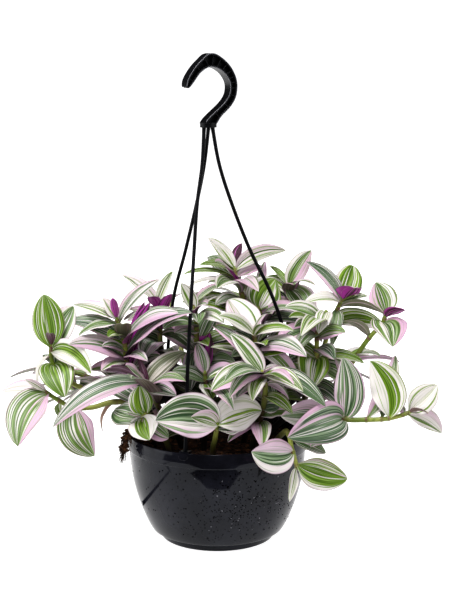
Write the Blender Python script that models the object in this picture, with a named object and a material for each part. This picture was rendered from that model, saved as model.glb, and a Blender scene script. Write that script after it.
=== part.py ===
# Potted nanouk tradescantia: a bushy trailing plant in a black plastic hanging pot,
# with its soil, a clip-on drip saucer, three thin moulded strands and a ribbed hook.
# Metres, +Z up. The origin is on the pot's axis, where the saucer stands.
# Sizes and places are written in millimetres and turned into metres by MM.
import math
import random

import bmesh
import bpy
from mathutils import Matrix, Vector, noise
from mathutils.bvhtree import BVHTree

MM = 0.001
GAP = 0.3

# Pot, saucer and soil
ROUND_SIDES = 28
SOIL_SIDES = 14
RIM_RADIUS = 85.0
RIM_TOP = 100.0
COLLAR_HEIGHT = 13.5
COLLAR_STEP = 2.5
WALL = 1.8
FOOT_RADIUS = 52.0
BOWL_FOOT_RADIUS = 61.0
FLOOR_TOP = 5.0
BOWL_RINGS = 4
BOWL_SWELL = 0.8
SAUCER_RADIUS = 55.5
SAUCER_HEIGHT = 7.5
SAUCER_WALL = 1.6
SAUCER_FLOOR = 1.8
SAUCER_DRAFT = 2.5
DRAIN_HOLES = 6
DRAIN_RADIUS = 3.0
DRAIN_RING = 34.0
SOIL_TOP = 90.0
SOIL_RELIEF = 2.2
SOIL_SWELL_SIZE = 17.0
SOIL_RINGS = [0.0, 18.0, 36.0, 54.0, 68.0]
SOIL_EDGE = 74.5
SOIL_GAP = 0.45
ROOT_DEPTH = 12.0

# Roots and peat that hang over the rim on the left: the middle line as (reach, height)
TUFT_BEARING = -64.2
TUFT_SPINE = [(67.5, 88.0), (75.0, 101.0), (82.0, 108.5), (90.5, 106.0), (94.5, 94.0), (95.0, 82.0)]
TUFT_RADII = [4.5, 4.8, 4.6, 5.0, 4.6, 0.0]
TUFT_ROOTS = 5
TUFT_SEED = 5
TUFT_ROOM = [(79.0, 104.0), (90.0, 102.0), (95.5, 70.0)]
TUFT_ROOM_RADIUS = 9.5

# Strands, hub and hook
STRAND_RADIUS = 1.7
STRAND_RING = 79.0
STRAND_BEARINGS = {"front": -20.6, "right": 99.4, "back": -140.6}
LUG_WIDTH = 9.0
LUG_DEPTH = 7.5
LUG_OUT = 0.5
LUG_HEIGHT = 11.0
LUG_FLOOR = 4.0
LUG_RISE = 1.0
SOCKET_DEPTH = 3.0
HUB_X = -8.0
HUB_BOTTOM = 381.0
HUB_THICKNESS = 4.4
HUB_RADIUS = 7.6
HUB_SIDES = 10
HUB_SOCKET_RING = 4.5
HUB_BEARINGS = {"front": -60.0, "right": 60.0, "back": 180.0}
HOOK_TURN = 24.0
HOOK_BREADTH = 13.0
HOOK_FLANGE = 1.7
HOOK_FLANGE_SHARE = 0.27
HOOK_WEB = 1.9
HOOK_RIBS = 8
HOOK_RIB_THICKNESS = 1.2
HOOK_RINGS = 19
HOOK_PLAIN_RINGS = 2

# The hook's middle line in its own plane and its depth there: from the tip over the crown
# and the bow to the hub
HOOK_CURVE = [
    (-22.1, 416.5, 2.6), (-19.3, 422.6, 6.2), (-13.0, 431.5, 7.2), (-5.9, 437.5, 9.0),
    (1.0, 440.6, 12.3), (9.1, 437.7, 10.3), (16.5, 431.6, 8.6), (21.3, 423.5, 7.4),
    (22.4, 415.9, 6.9), (20.7, 408.0, 7.0), (15.5, 400.6, 7.1), (7.2, 393.0, 7.4),
    (-0.6, 384.4, 11.0),
]

# The way of each strand between its two sockets
STRAND_POINTS = {
    "front": [(-13.5, -9, 348), (-18, -19, 313), (-20.5, -31, 274), (-23, -47, 231), (-26, -63, 171)],
    "right": [(2, -1, 347), (13.5, 1, 311), (30, 4, 269), (52, 8, 222), (69.5, 11, 164)],
    "back": [(-12, 10, 346), (-19.5, 19, 309), (-30, 30, 265), (-42.5, 44, 215), (-49, 55, 154)],
}

# Plant
STEM_SIDES = 5
STEM_RADIUS = 2.9
STEM_TIP_RADIUS = 1.9
STEM_TIP = 3.5
COLLAR_RISE = 6.0
LEAF_THICKNESS = 1.6
LEAF_BREADTH = 1.2
LEAF_MARGIN = 0.35
STEM_MARGIN = 0.8

# Stations along a leaf: share of the length, share of the width, fold in degrees
LEAF_STATIONS = [(0.0, 0.12, 50), (0.15, 0.7, 30), (0.43, 1.0, 13), (0.75, 0.72, 13)]
SLIM_STATIONS = [(0.0, 0.2, 50), (0.3, 1.0, 22), (0.68, 0.76, 15)]
SLIM_WIDTH = 26.0

# Directions that a leaf's upper face can look in
UP = (0.0, -0.25, 1.0)
OPEN = (0.0, -0.6, 0.8)
FRONT = (0.0, -1.0, 0.25)
AWAY = (0.0, 0.8, 0.6)
LEFT = (-0.8, -0.5, 0.4)
RIGHT = (0.8, -0.5, 0.4)

# Each leafy stem: where it leaves the soil, the points it grows through, and its
# leaves as (place along the points, tip, width, direction of the upper face).
SHOOTS = {
    "stem_left_upper": {
        "root": (-52, 6),
        "path": [(-91, -14, 143), (-108, -15, 143), (-128, -18, 146),
                 (-144, -20, 158), (-151, -22, 171), (-151, -22, 184)],
        "leaves": [
            (5.9, (-158, -14, 231), 27, FRONT),
            (5.7, (-133, -2, 217), 24, FRONT),
            (5.6, (-113, -45, 164), 20, FRONT),
            (6.0, (-149, -26, 202), 8, FRONT),
            (4.6, (-136, -52, 144), 29, OPEN),
            (4.2, (-131, -12, 141), 16, OPEN),
            (5.3, (-163, -24, 145), 9, LEFT),
            (2.2, (-125, -28, 151), 14, OPEN),
        ],
    },
    "stem_left_trailing": {
        "root": (-60, -20),
        "path": [(-78, -38, 136), (-101, -42, 135), (-124, -40, 130),
                 (-142, -38, 137), (-156, -35, 145)],
        "leaves": [
            (5.0, (-196, -28, 144), 15, OPEN),
            (4.9, (-173, -20, 158), 8, OPEN),
            (4.7, (-175, -66, 107), 31, OPEN),
            (3.2, (-109, -66, 94), 30, FRONT),
            (4.0, (-140, -30, 117), 7, OPEN),
            (1.6, (-105, -32, 106), 6, LEFT),
        ],
    },
    "stem_left_back": {
        "root": (-44, 22),
        "path": [(-65, 5, 132), (-77, 0, 151), (-84, -5, 166),
                 (-85, -8, 182), (-88, -8, 195), (-92, -8, 206)],
        "leaves": [
            (3.0, (-133, -32, 190), 23, OPEN),
            (3.0, (-23, -72, 226), 27, OPEN),
            (4.0, (-34, -38, 223), 21, OPEN),
            (5.9, (-134, 6, 218), 15, OPEN),
            (5.3, (-126, -26, 195), 17, UP),
            (6.0, (-105, 2, 226), 11, OPEN),
            (6.0, (-94, -12, 230), 7, AWAY),
            (5.5, (-80, 16, 220), 7, OPEN),
            (5.7, (-53, 6, 242), 12, OPEN),
        ],
    },
    "stem_centre_left": {
        "root": (-28, 40),
        "path": [(-50, 25, 151), (-54, 28, 189), (-57, 28, 215)],
        "leaves": [
            (3.0, (-90, 36, 241), 12, OPEN),
            (2.9, (-42, 26, 246), 10, OPEN),
            (2.3, (-42, 8, 228), 10, AWAY),
            (2.2, (-82, 14, 212), 13, OPEN),
            (2.0, (-44, -4, 216), 14, OPEN),
            (1.6, (-84, 24, 180), 20, OPEN),
            (2.7, (-62, 2, 226), 11, AWAY),
        ],
    },
    "stem_centre": {
        "root": (-14, -4),
        "path": [(-18, -10, 145), (-19, -15, 184), (-19, -18, 206), (-21, -15, 221)],
        "leaves": [
            (3.1, (6, -46, 211), 18, OPEN),
            (3.5, (4, 0, 228), 7, UP),
            (3.8, (-12, 6, 233), 10, AWAY),
            (4.0, (-4, 16, 238), 8, OPEN),
            (3.6, (-33, -5, 242), 12, FRONT),
            (1.8, (-24, -42, 148), 17, OPEN),
            (2.1, (-4, -12, 180), 14, AWAY),
            (1.3, (12, -34, 136), 16, OPEN),
        ],
    },
    "stem_top": {
        "root": (8, 34),
        "path": [(27, 40, 167), (24, 42, 216), (19, 42, 231), (16, 42, 245)],
        "leaves": [
            (4.0, (-9, 45, 275), 13, OPEN),
            (3.8, (-17, 35, 251), 10, OPEN),
            (3.1, (-32, 25, 244), 12, UP),
            (2.6, (-27, 10, 235), 12, UP),
            (4.0, (23, 50, 262), 10, AWAY),
            (3.9, (66, 60, 261), 14, FRONT),
            (2.3, (0, 8, 239), 20, OPEN),
            (1.7, (48, 62, 200), 20, OPEN),
        ],
    },
    "stem_centre_right": {
        "root": (25, -8),
        "path": [(36, -25, 154), (36, -30, 181), (33, -32, 196)],
        "leaves": [
            (3.0, (10, -10, 226), 27, OPEN),
            (2.9, (2, -50, 218), 16, OPEN),
            (2.8, (68, -46, 205), 13, OPEN),
            (3.0, (44, -26, 218), 6, LEFT),
            (3.0, (41, -36, 211), 5, FRONT),
            (2.0, (78, -76, 187), 23, OPEN),
            (1.3, (50, -48, 132), 14, OPEN),
        ],
    },
    "stem_right_inner": {
        "root": (30, 28),
        "path": [(42, 30, 179), (39, 33, 208)],
        "leaves": [
            (2.0, (55, 42, 236), 32, FRONT),
            (1.9, (22, 50, 233), 12, OPEN),
            (2.0, (46, 62, 238), 10, OPEN),
            (1.5, (70, 44, 200), 18, OPEN),
        ],
    },
    "stem_right_top": {
        "root": (48, 46),
        "path": [(66, 46, 176), (68, 46, 210), (68, 46, 227)],
        "leaves": [
            (3.0, (89, 46, 263), 18, FRONT),
            (2.8, (88, 12, 197), 23, OPEN),
            (2.9, (91, 36, 235), 9, UP),
            (2.9, (50, 68, 245), 7, OPEN),
            (1.8, (88, 66, 184), 19, OPEN),
        ],
    },
    "stem_right_upper": {
        "root": (44, 24),
        "path": [(88, 20, 140), (98, 16, 172), (106, 12, 197), (112, 10, 214), (116, 10, 221)],
        "leaves": [
            (4.8, (82, 12, 257), 12, FRONT),
            (5.0, (124, -18, 238), 21, AWAY),
            (4.8, (128, 25, 250), 24, FRONT),
            (4.4, (79, -6, 221), 14, OPEN),
            (4.3, (141, 10, 236), 10, LEFT),
            (4.0, (154, 0, 211), 10, AWAY),
            (3.8, (104, -16, 182), 11, OPEN),
        ],
    },
    "stem_right_outer": {
        "root": (64, -4),
        "path": [(104, 5, 134), (130, 5, 170), (140, 5, 186), (151, 5, 197), (156, 5, 209)],
        "leaves": [
            (5.0, (147, 10, 237), 24, FRONT),
            (4.6, (172, -12, 216), 12, AWAY),
            (4.2, (170, -36, 187), 30, OPEN),
            (3.0, (116, -6, 205), 9, AWAY),
            (2.0, (149, -16, 174), 11, UP),
            (5.0, (163, 14, 222), 9, OPEN),
        ],
    },
    "stem_right_trailing": {
        "root": (60, -24),
        "path": [(93, -45, 121), (116, -55, 124), (133, -58, 125),
                 (146, -60, 126), (159, -60, 128), (170, -60, 132)],
        "leaves": [
            (1.9, (112, -50, 180), 25, FRONT),
            (4.5, (136, -50, 177), 28, FRONT),
            (5.5, (162, -63, 139), 6, FRONT),
            (6.0, (196, -54, 156), 22, FRONT),
            (6.0, (184, -78, 138), 7, AWAY),
            (5.8, (202, -66, 111), 16, FRONT),
            (1.8, (61, -102, 121), 33, FRONT),
            (3.0, (162, -30, 177), 15, OPEN),
            (1.9, (106, -36, 174), 11, LEFT),
            (4.0, (140, -30, 150), 13, OPEN),
            (1.0, (56, -84, 135), 26, FRONT),
        ],
    },
    "stem_right_middle": {
        "root": (45, -8),
        "path": [(84, -10, 136), (91, -12, 171), (91, -10, 192), (99, -8, 212)],
        "leaves": [
            (2.0, (84, -46, 150), 28, FRONT),
            (4.0, (91, -32, 198), 14, OPEN),
            (2.0, (113, 0, 172), 16, AWAY),
            (2.9, (50, -34, 182), 23, OPEN),
            (3.6, (61, -14, 220), 17, OPEN),
            (1.2, (112, -28, 130), 20, OPEN),
        ],
    },
    "stem_front_right": {
        "root": (32, -38),
        "path": [(43, -60, 147), (41, -62, 160), (40, -62, 168)],
        "leaves": [
            (3.0, (12, -56, 203), 18, OPEN),
            (3.0, (55, -60, 175), 7, UP),
            (2.6, (75, -80, 158), 17, OPEN),
            (2.6, (-5, -86, 158), 24, OPEN),
            (2.8, (-5, -40, 202), 14, OPEN),
            (1.9, (17, -80, 151), 14, OPEN),
            (1.6, (64, -60, 144), 9, OPEN),
        ],
    },
    "stem_front": {
        "root": (-4, -55),
        "path": [(-1, -70, 115), (0, -78, 126)],
        "leaves": [
            (2.0, (-53, -94, 134), 36, FRONT),
            (2.0, (-22, -102, 139), 14, FRONT),
            (2.0, (40, -96, 135), 31, FRONT),
            (1.4, (48, -66, 143), 26, OPEN),
        ],
    },
    "stem_front_left": {
        "root": (-44, -46),
        "path": [(-58, -68, 131), (-65, -78, 132)],
        "leaves": [
            (2.0, (-58, -102, 119), 25, FRONT),
            (2.0, (-77, -92, 140), 10, UP),
            (1.8, (-92, -62, 135), 26, OPEN),
            (1.5, (-68, -58, 158), 20, FRONT),
            (1.8, (-42, -92, 114), 20, OPEN),
        ],
    },
    "stem_left_low": {
        "root": (-34, -28),
        "path": [(-58, -44, 142), (-64, -50, 155)],
        "leaves": [
            (2.0, (-144, -86, 126), 21, OPEN),
            (2.0, (-101, -24, 162), 15, AWAY),
            (2.0, (-72, -34, 174), 18, AWAY),
            (1.4, (-36, -62, 148), 18, OPEN),
        ],
    },
    "stem_centre_low": {
        "root": (-12, -32),
        "path": [(-10, -40, 142), (-11, -42, 163)],
        "leaves": [
            (1.4, (-4, -62, 145), 16, OPEN),
            (2.0, (-18, -36, 190), 13, OPEN),
            (1.6, (16, -52, 172), 15, OPEN),
            (1.5, (-40, -50, 168), 15, OPEN),
        ],
    },
    "stem_over_rim": {
        "root": (50, -44),
        "path": [(62, -70, 119), (64, -80, 110), (67, -84, 101), (70, -85, 90)],
        "leaves": [
            (2.8, (30, -100, 108), 28, FRONT),
            (3.8, (115, -82, 78), 25, FRONT),
            (4.0, (63, -94, 61), 12, LEFT),
            (4.0, (79, -88, 77), 8, RIGHT),
            (1.3, (97, -70, 104), 16, OPEN),
        ],
    },
}

# Stems behind the pot: each as bearing, reach and height of its tip
BACK_SHOOTS = [
    (32, 156, 146), (54, 150, 108), (74, 122, 206), (93, 154, 138),
    (112, 128, 200), (146, 150, 116), (166, 156, 150),
]
BACK_SEED = 11
BACK_ROOT_RING = 66.0
BACK_RIM_RING = 78.0
BACK_RIM_HEIGHT = 118.0
BACK_CREST = 14.0
BACK_NODES = 5
BACK_SPREAD = (25.0, 62.0)
BACK_LENGTHS = (48.0, 66.0)
BACK_WIDTHS = (21.0, 28.0)
BACK_DROPS = (-0.35, 0.3)
BACK_END_SPREAD = 0.45
BACK_END_LENGTH = 0.72

# How many older leaves grow along each inner stem, the part of the stem that they take and
# how far each is turned from the one before
INNER_LEAVES = {
    "stem_left_back": 4, "stem_centre_left": 4, "stem_centre": 4, "stem_centre_right": 4,
    "stem_front_right": 2, "stem_left_low": 3, "stem_right_middle": 3, "stem_right_inner": 4,
    "stem_top": 4, "stem_right_top": 3, "stem_left_upper": 2, "stem_right_upper": 2,
    "stem_centre_low": 1, "stem_right_trailing": 1,
}
INNER_SEED = 23
INNER_SPAN = (0.06, 0.8)
INNER_TURN = 137.5
INNER_WANDER = 20.0
INNER_RISE = (-0.35, 0.45)
INNER_LENGTHS = (54.0, 74.0)
INNER_WIDTHS = (19.0, 23.5)


def clear_scene():
    for item in list(bpy.data.objects):
        bpy.data.objects.remove(item, do_unlink=True)


def make_material(name, colour, roughness, metallic=0.0):
    material = bpy.data.materials.new(name)
    material.use_nodes = True
    shader = material.node_tree.nodes["Principled BSDF"]
    shader.inputs["Base Color"].default_value = (*colour, 1.0)
    shader.inputs["Roughness"].default_value = roughness
    shader.inputs["Metallic"].default_value = metallic
    return material


def make_object(name, points, faces, material):
    mesh = bpy.data.meshes.new(name)
    mesh.from_pydata([Vector(point) * MM for point in points], [], faces)
    shell = bmesh.new()
    shell.from_mesh(mesh)
    bmesh.ops.recalc_face_normals(shell, faces=shell.faces)
    shell.to_mesh(mesh)
    shell.free()
    mesh.materials.append(material)
    item = bpy.data.objects.new(name, mesh)
    bpy.context.scene.collection.objects.link(item)
    return item


def apply_boolean(target, others, operation, solver="EXACT"):
    group = bpy.data.collections.new("operands")
    for other in others:
        group.objects.link(other)
    modifier = target.modifiers.new("boolean", 'BOOLEAN')
    modifier.operation = operation
    modifier.operand_type = 'COLLECTION'
    modifier.collection = group
    modifier.solver = solver
    bpy.context.view_layer.update()
    evaluated = target.evaluated_get(bpy.context.evaluated_depsgraph_get())
    mesh = bpy.data.meshes.new_from_object(evaluated)
    target.modifiers.clear()
    target.data = mesh
    for other in others:
        bpy.data.objects.remove(other, do_unlink=True)
    bpy.data.collections.remove(group)
    return target


def keep_main_body(item):
    # Where leaves of one stem close round a small hollow, the hollow's own skin goes.
    shell = bmesh.new()
    shell.from_mesh(item.data)
    bodies = []
    seen = set()
    for start in shell.verts:
        if start in seen:
            continue
        body = [start]
        seen.add(start)
        for vert in body:
            for edge in vert.link_edges:
                other = edge.other_vert(vert)
                if other not in seen:
                    seen.add(other)
                    body.append(other)
        bodies.append(body)
    bodies.sort(key=len)
    for body in bodies[:-1]:
        bmesh.ops.delete(shell, geom=body, context='VERTS')
    shell.to_mesh(item.data)
    shell.free()


def shade_round(item, angle=35.0):
    item.data.shade_smooth()
    item.data.set_sharp_from_angle(angle=math.radians(angle))


# Turned pieces

def turned_shape(profile, sides):
    # The profile starts and ends on the axis.
    points = []
    rings = []
    for radius, height in profile:
        if radius == 0.0:
            rings.append([len(points)])
            points.append((0.0, 0.0, height))
            continue
        rings.append(list(range(len(points), len(points) + sides)))
        for index in range(sides):
            angle = 2.0 * math.pi * index / sides
            points.append((radius * math.cos(angle), radius * math.sin(angle), height))
    faces = []
    for lower, upper in zip(rings, rings[1:]):
        for index in range(sides):
            following = (index + 1) % sides
            corners = [lower[index % len(lower)], lower[following % len(lower)],
                       upper[following % len(upper)], upper[index % len(upper)]]
            faces.append(list(dict.fromkeys(corners)))
    return points, faces


def bowl_radius(height):
    # The bowl swells quickly above the saucer and then rises nearly straight.
    low = SAUCER_HEIGHT
    high = RIM_TOP - COLLAR_HEIGHT
    share = (height - low) / (high - low)
    return BOWL_FOOT_RADIUS + (RIM_RADIUS - COLLAR_STEP - BOWL_FOOT_RADIUS) * math.sin(
        share * math.pi / 2.0) ** BOWL_SWELL


def bowl_heights():
    low = SAUCER_HEIGHT + 0.6
    high = RIM_TOP - COLLAR_HEIGHT
    return [low + (high - low) * (index / BOWL_RINGS) ** 1.3 for index in range(BOWL_RINGS + 1)]


def inner_wall():
    # The inside of the bowl from the top down.
    return [(bowl_radius(height) - WALL, height) for height in reversed(bowl_heights()[1:])]


# The inside of the foot, from the bowl down to the floor
FOOT_INSIDE = [(BOWL_FOOT_RADIUS - WALL, SAUCER_HEIGHT + 4.0),
               (FOOT_RADIUS - 0.2, SAUCER_HEIGHT + 2.5), (FOOT_RADIUS - WALL, FLOOR_TOP)]


def pot_profile():
    base = SAUCER_FLOOR + GAP
    collar_bottom = RIM_TOP - COLLAR_HEIGHT
    outer = [(0.0, base), (FOOT_RADIUS, base), (FOOT_RADIUS + 1.6, SAUCER_HEIGHT + 0.6)]
    outer += [(bowl_radius(height), height) for height in bowl_heights()]
    outer += [(RIM_RADIUS, collar_bottom + 0.6), (RIM_RADIUS - 0.8, RIM_TOP),
              (RIM_RADIUS - 3.0, RIM_TOP)]
    return outer + inner_wall() + FOOT_INSIDE + [(0.0, FLOOR_TOP)]


def prism(name, centre, radius, bottom, top, sides, material):
    points = []
    for height in (bottom, top):
        for index in range(sides):
            angle = 2.0 * math.pi * (index + 0.5) / sides
            points.append((centre[0] + radius * math.cos(angle),
                           centre[1] + radius * math.sin(angle), height))
    faces = [list(range(sides)), list(range(sides, 2 * sides))]
    for index in range(sides):
        following = (index + 1) % sides
        faces.append([index, following, following + sides, index + sides])
    return make_object(name, points, faces, material)


def block(name, centre, size, turn, material):
    # A box with its middle at the centre, turned about Z by some degrees.
    spin = Matrix.Rotation(math.radians(turn), 3, 'Z')
    points = []
    for x in (-0.5, 0.5):
        for y in (-0.5, 0.5):
            for z in (-0.5, 0.5):
                local = spin @ Vector((x * size[0], y * size[1], z * size[2]))
                points.append(Vector(centre) + local)
    faces = [(0, 1, 3, 2), (4, 6, 7, 5), (0, 4, 5, 1), (2, 3, 7, 6), (0, 2, 6, 4), (1, 5, 7, 3)]
    return make_object(name, points, faces, material)


def lug_place(bearing):
    # A bearing of 0 looks at the viewer, and 90 is to the right.
    angle = math.radians(bearing)
    return Vector((math.sin(angle), -math.cos(angle), 0.0))


def build_pot(material):
    points, faces = turned_shape(pot_profile(), ROUND_SIDES)
    pot = make_object("pot", points, faces, material)
    lugs = []
    for bearing in STRAND_BEARINGS.values():
        centre = lug_place(bearing) * (STRAND_RING + LUG_OUT)
        centre.z = RIM_TOP + LUG_RISE - LUG_HEIGHT / 2.0
        lugs.append(block("lug", centre, (LUG_WIDTH, LUG_DEPTH, LUG_HEIGHT), bearing, material))
    apply_boolean(pot, lugs, 'UNION')
    cutters = []
    for bearing in STRAND_BEARINGS.values():
        centre = lug_place(bearing) * STRAND_RING
        top = RIM_TOP + 2.0
        cutters.append(prism("socket", centre, STRAND_RADIUS + 2.0 * GAP,
                             RIM_TOP - LUG_HEIGHT + LUG_FLOOR, top, 8, material))
    for index in range(DRAIN_HOLES):
        angle = 2.0 * math.pi * index / DRAIN_HOLES
        centre = (DRAIN_RING * math.cos(angle), DRAIN_RING * math.sin(angle))
        cutters.append(prism("drain", centre, DRAIN_RADIUS, -1.0, FLOOR_TOP + 1.0, 6, material))
    apply_boolean(pot, cutters, 'DIFFERENCE')
    shade_round(pot)
    return pot


def build_saucer(material):
    top = SAUCER_RADIUS
    foot = SAUCER_RADIUS - SAUCER_DRAFT
    profile = [(0.0, 0.0), (foot, 0.0), (top, SAUCER_HEIGHT), (top - SAUCER_WALL, SAUCER_HEIGHT),
               (foot - SAUCER_WALL + 0.6, SAUCER_FLOOR), (0.0, SAUCER_FLOOR)]
    points, faces = turned_shape(profile, ROUND_SIDES)
    saucer = make_object("saucer", points, faces, material)
    shade_round(saucer)
    return saucer


# Soil

def soil_height(x, y):
    swell = noise.noise(Vector((x / SOIL_SWELL_SIZE, y / SOIL_SWELL_SIZE, 3.1)))
    return SOIL_TOP + SOIL_RELIEF * swell


def soil_shape():
    wall = [(radius - SOIL_GAP, height) for radius, height in inner_wall()
            if height < SOIL_TOP - 8.0]
    foot = [(radius - 2.0 * SOIL_GAP, height + SOIL_GAP) for radius, height in FOOT_INSIDE]
    profile = [(radius, SOIL_TOP) for radius in SOIL_RINGS] + [(SOIL_EDGE, SOIL_TOP - 1.0)]
    profile += wall + foot + [(0.0, FLOOR_TOP + SOIL_GAP)]
    points, faces = turned_shape(profile, SOIL_SIDES)
    shaped = []
    for x, y, z in points:
        if z >= SOIL_TOP - 1.0:
            z = soil_height(x, y) - (SOIL_TOP - z)
        shaped.append((x, y, z))
    return shaped, faces


def tuft_place(reach, height):
    return lug_place(TUFT_BEARING) * reach + Vector((0.0, 0.0, height))


def root_tuft(material):
    # Peat and fine roots that hang over the rim.
    spine = [tuft_place(*place) for place in TUFT_SPINE]
    core = make_tube("root_core", spine, TUFT_RADII, 7, material)
    draw = random.Random(TUFT_SEED)
    out = lug_place(TUFT_BEARING)
    along = Vector((-out.y, out.x, 0.0))
    pieces = []
    for index in range(TUFT_ROOTS):
        start = spine[3].lerp(spine[4], index / TUFT_ROOTS)
        side = out * draw.uniform(0.5, 5.0) + along * draw.uniform(-7.0, 7.0)
        side.z = draw.uniform(-26.0, -14.0)
        bend = start + side * 0.55 + out * 2.0 + Vector((0.0, 0.0, 2.0))
        pieces.append(make_tube("root", [start, bend, start + side], [1.5, 1.0, 0.0], 4, material))
    return [core] + pieces


def build_soil(material, holes):
    points, faces = soil_shape()
    soil = make_object("soil", points, faces, material)
    apply_boolean(soil, root_tuft(material), 'UNION')
    cutters = []
    for hole in holes:
        cutters.append(prism("hole", hole, STEM_RADIUS + 2.0 * GAP, SOIL_TOP - ROOT_DEPTH - GAP,
                             SOIL_TOP + 12.0, STEM_SIDES, material))
    apply_boolean(soil, cutters, 'DIFFERENCE')
    return soil


# Tubes and paths

def catmull(points, place):
    # A smooth curve through the points, where whole numbers are the points themselves.
    last = len(points) - 1
    index = min(int(place), last - 1)
    t = place - index
    before = points[max(index - 1, 0)]
    start = points[index]
    end = points[index + 1]
    after = points[min(index + 2, last)]
    return 0.5 * ((2.0 * start) + (end - before) * t
                  + (2.0 * before - 5.0 * start + 4.0 * end - after) * t * t
                  + (3.0 * start - before - 3.0 * end + after) * t * t * t)


def tube_shape(points, radii, sides, twist=0.5):
    # A radius of 0 at the last point closes the tube in a tip.
    points = [Vector(point) for point in points]
    rings = []
    verts = []
    tangent = (points[1] - points[0]).normalized()
    side = tangent.orthogonal().normalized()
    if abs(tangent.z) > 0.9:
        side = (Vector((1.0, 0.0, 0.0)) - tangent * tangent.x).normalized()
    for index, (point, radius) in enumerate(zip(points, radii)):
        ahead = points[min(index + 1, len(points) - 1)]
        behind = points[max(index - 1, 0)]
        turned = (ahead - behind).normalized()
        side = (side - turned * side.dot(turned)).normalized()
        other = turned.cross(side)
        if radius == 0.0:
            rings.append([len(verts)])
            verts.append(point)
            continue
        rings.append(list(range(len(verts), len(verts) + sides)))
        for step in range(sides):
            angle = 2.0 * math.pi * (step + twist) / sides
            verts.append(point + radius * (math.cos(angle) * side + math.sin(angle) * other))
    faces = []
    for lower, upper in zip(rings, rings[1:]):
        for step in range(sides):
            following = (step + 1) % sides
            corners = [lower[step], lower[following], upper[following % len(upper)],
                       upper[step % len(upper)]]
            corners = list(dict.fromkeys(corners))
            if len(corners) == 3:
                faces.append(corners)
            else:
                faces.append([corners[0], corners[1], corners[2]])
                faces.append([corners[0], corners[2], corners[3]])
    faces.append(rings[0][::-1])
    if len(rings[-1]) > 1:
        faces.append(rings[-1])
    return verts, faces


def make_tube(name, points, radii, sides, material):
    verts, faces = tube_shape(points, radii, sides)
    return make_object(name, verts, faces, material)


# Strands, hub and hook

def hub_socket(name):
    return Vector((HUB_X, 0.0, 0.0)) + lug_place(HUB_BEARINGS[name]) * HUB_SOCKET_RING


def strand_points(name):
    top = hub_socket(name)
    foot = lug_place(STRAND_BEARINGS[name]) * STRAND_RING
    top_z = HUB_BOTTOM + SOCKET_DEPTH - GAP
    foot_z = RIM_TOP - LUG_HEIGHT + LUG_FLOOR + GAP
    control = [Vector((top.x, top.y, HUB_BOTTOM - 1.0))]
    control += [Vector(point) for point in STRAND_POINTS[name]]
    control += [Vector((foot.x, foot.y, RIM_TOP + 5.0))]
    steps = 2 * (len(control) - 1)
    curve = [catmull(control, index * (len(control) - 1) / steps) for index in range(steps + 1)]
    return ([Vector((top.x, top.y, top_z))] + curve
            + [Vector((foot.x, foot.y, foot_z))])


def build_strand(name, material):
    points = strand_points(name)
    strand = make_tube("strand_" + name, points, [STRAND_RADIUS] * len(points), 5, material)
    shade_round(strand, 80.0)
    return strand


def hook_line():
    # Rings along the hook as (u, z, depth).
    curve = [Vector(point) for point in HOOK_CURVE]
    last = len(curve) - 1
    return [catmull(curve, last * index / HOOK_RINGS) for index in range(HOOK_RINGS + 1)]


def hook_place(u, across, z):
    turn = math.radians(HOOK_TURN)
    return (HUB_X + u * math.cos(turn) - across * math.sin(turn),
            u * math.sin(turn) + across * math.cos(turn), z)


def hook_flange(depth):
    return min(HOOK_FLANGE, HOOK_FLANGE_SHARE * depth)


def beam_section(depth):
    half = depth / 2.0
    wide = HOOK_BREADTH / 2.0
    web = HOOK_WEB / 2.0
    inner = half - hook_flange(depth)
    return [(wide, half), (-wide, half), (-wide, inner), (-web, inner), (-web, -inner),
            (-wide, -inner), (-wide, -half), (wide, -half), (wide, -inner), (web, -inner),
            (web, inner), (wide, inner)]


def line_normals(line):
    # The last ring is cut level, where the hook meets its plate.
    normals = []
    for index in range(len(line) - 1):
        ahead = line[index + 1]
        behind = line[max(index - 1, 0)]
        du, dz = ahead[0] - behind[0], ahead[1] - behind[1]
        size = math.hypot(du, dz)
        normals.append((-dz / size, du / size))
    return normals + [(1.0, 0.0)]


def build_hook(material):
    line = hook_line()
    normals = line_normals(line)
    verts = []
    for (u, z, depth), (nu, nz) in zip(line, normals):
        section = beam_section(depth)
        for across, height in section:
            verts.append(hook_place(u + nu * height, across, z + nz * height))
    count = len(section)
    faces = []
    for ring in range(len(line) - 1):
        for index in range(count):
            following = (index + 1) % count
            faces.append([ring * count + index, ring * count + following,
                          (ring + 1) * count + following, (ring + 1) * count + index])
    faces.append(list(range(count)))
    faces.append([(len(line) - 1) * count + index for index in range(count)])
    hook = make_object("hook", verts, faces, material)
    extras = [prism("plate", (HUB_X, 0.0), HUB_RADIUS, HUB_BOTTOM, HUB_BOTTOM + HUB_THICKNESS,
                    HUB_SIDES, material)]
    rib_rings = HOOK_RINGS - 2 * HOOK_PLAIN_RINGS - 1
    for index in range(HOOK_RIBS):
        place = HOOK_PLAIN_RINGS + round(index * rib_rings / (HOOK_RIBS - 1))
        extras.append(hook_rib(line[place], normals[place], material))
    apply_boolean(hook, extras, 'UNION')
    sockets = []
    for name in STRAND_BEARINGS:
        sockets.append(prism("socket", hub_socket(name), STRAND_RADIUS + 2.0 * GAP,
                             HUB_BOTTOM - 2.0, HUB_BOTTOM + SOCKET_DEPTH, 8, material))
    apply_boolean(hook, sockets, 'DIFFERENCE')
    return hook


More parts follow.
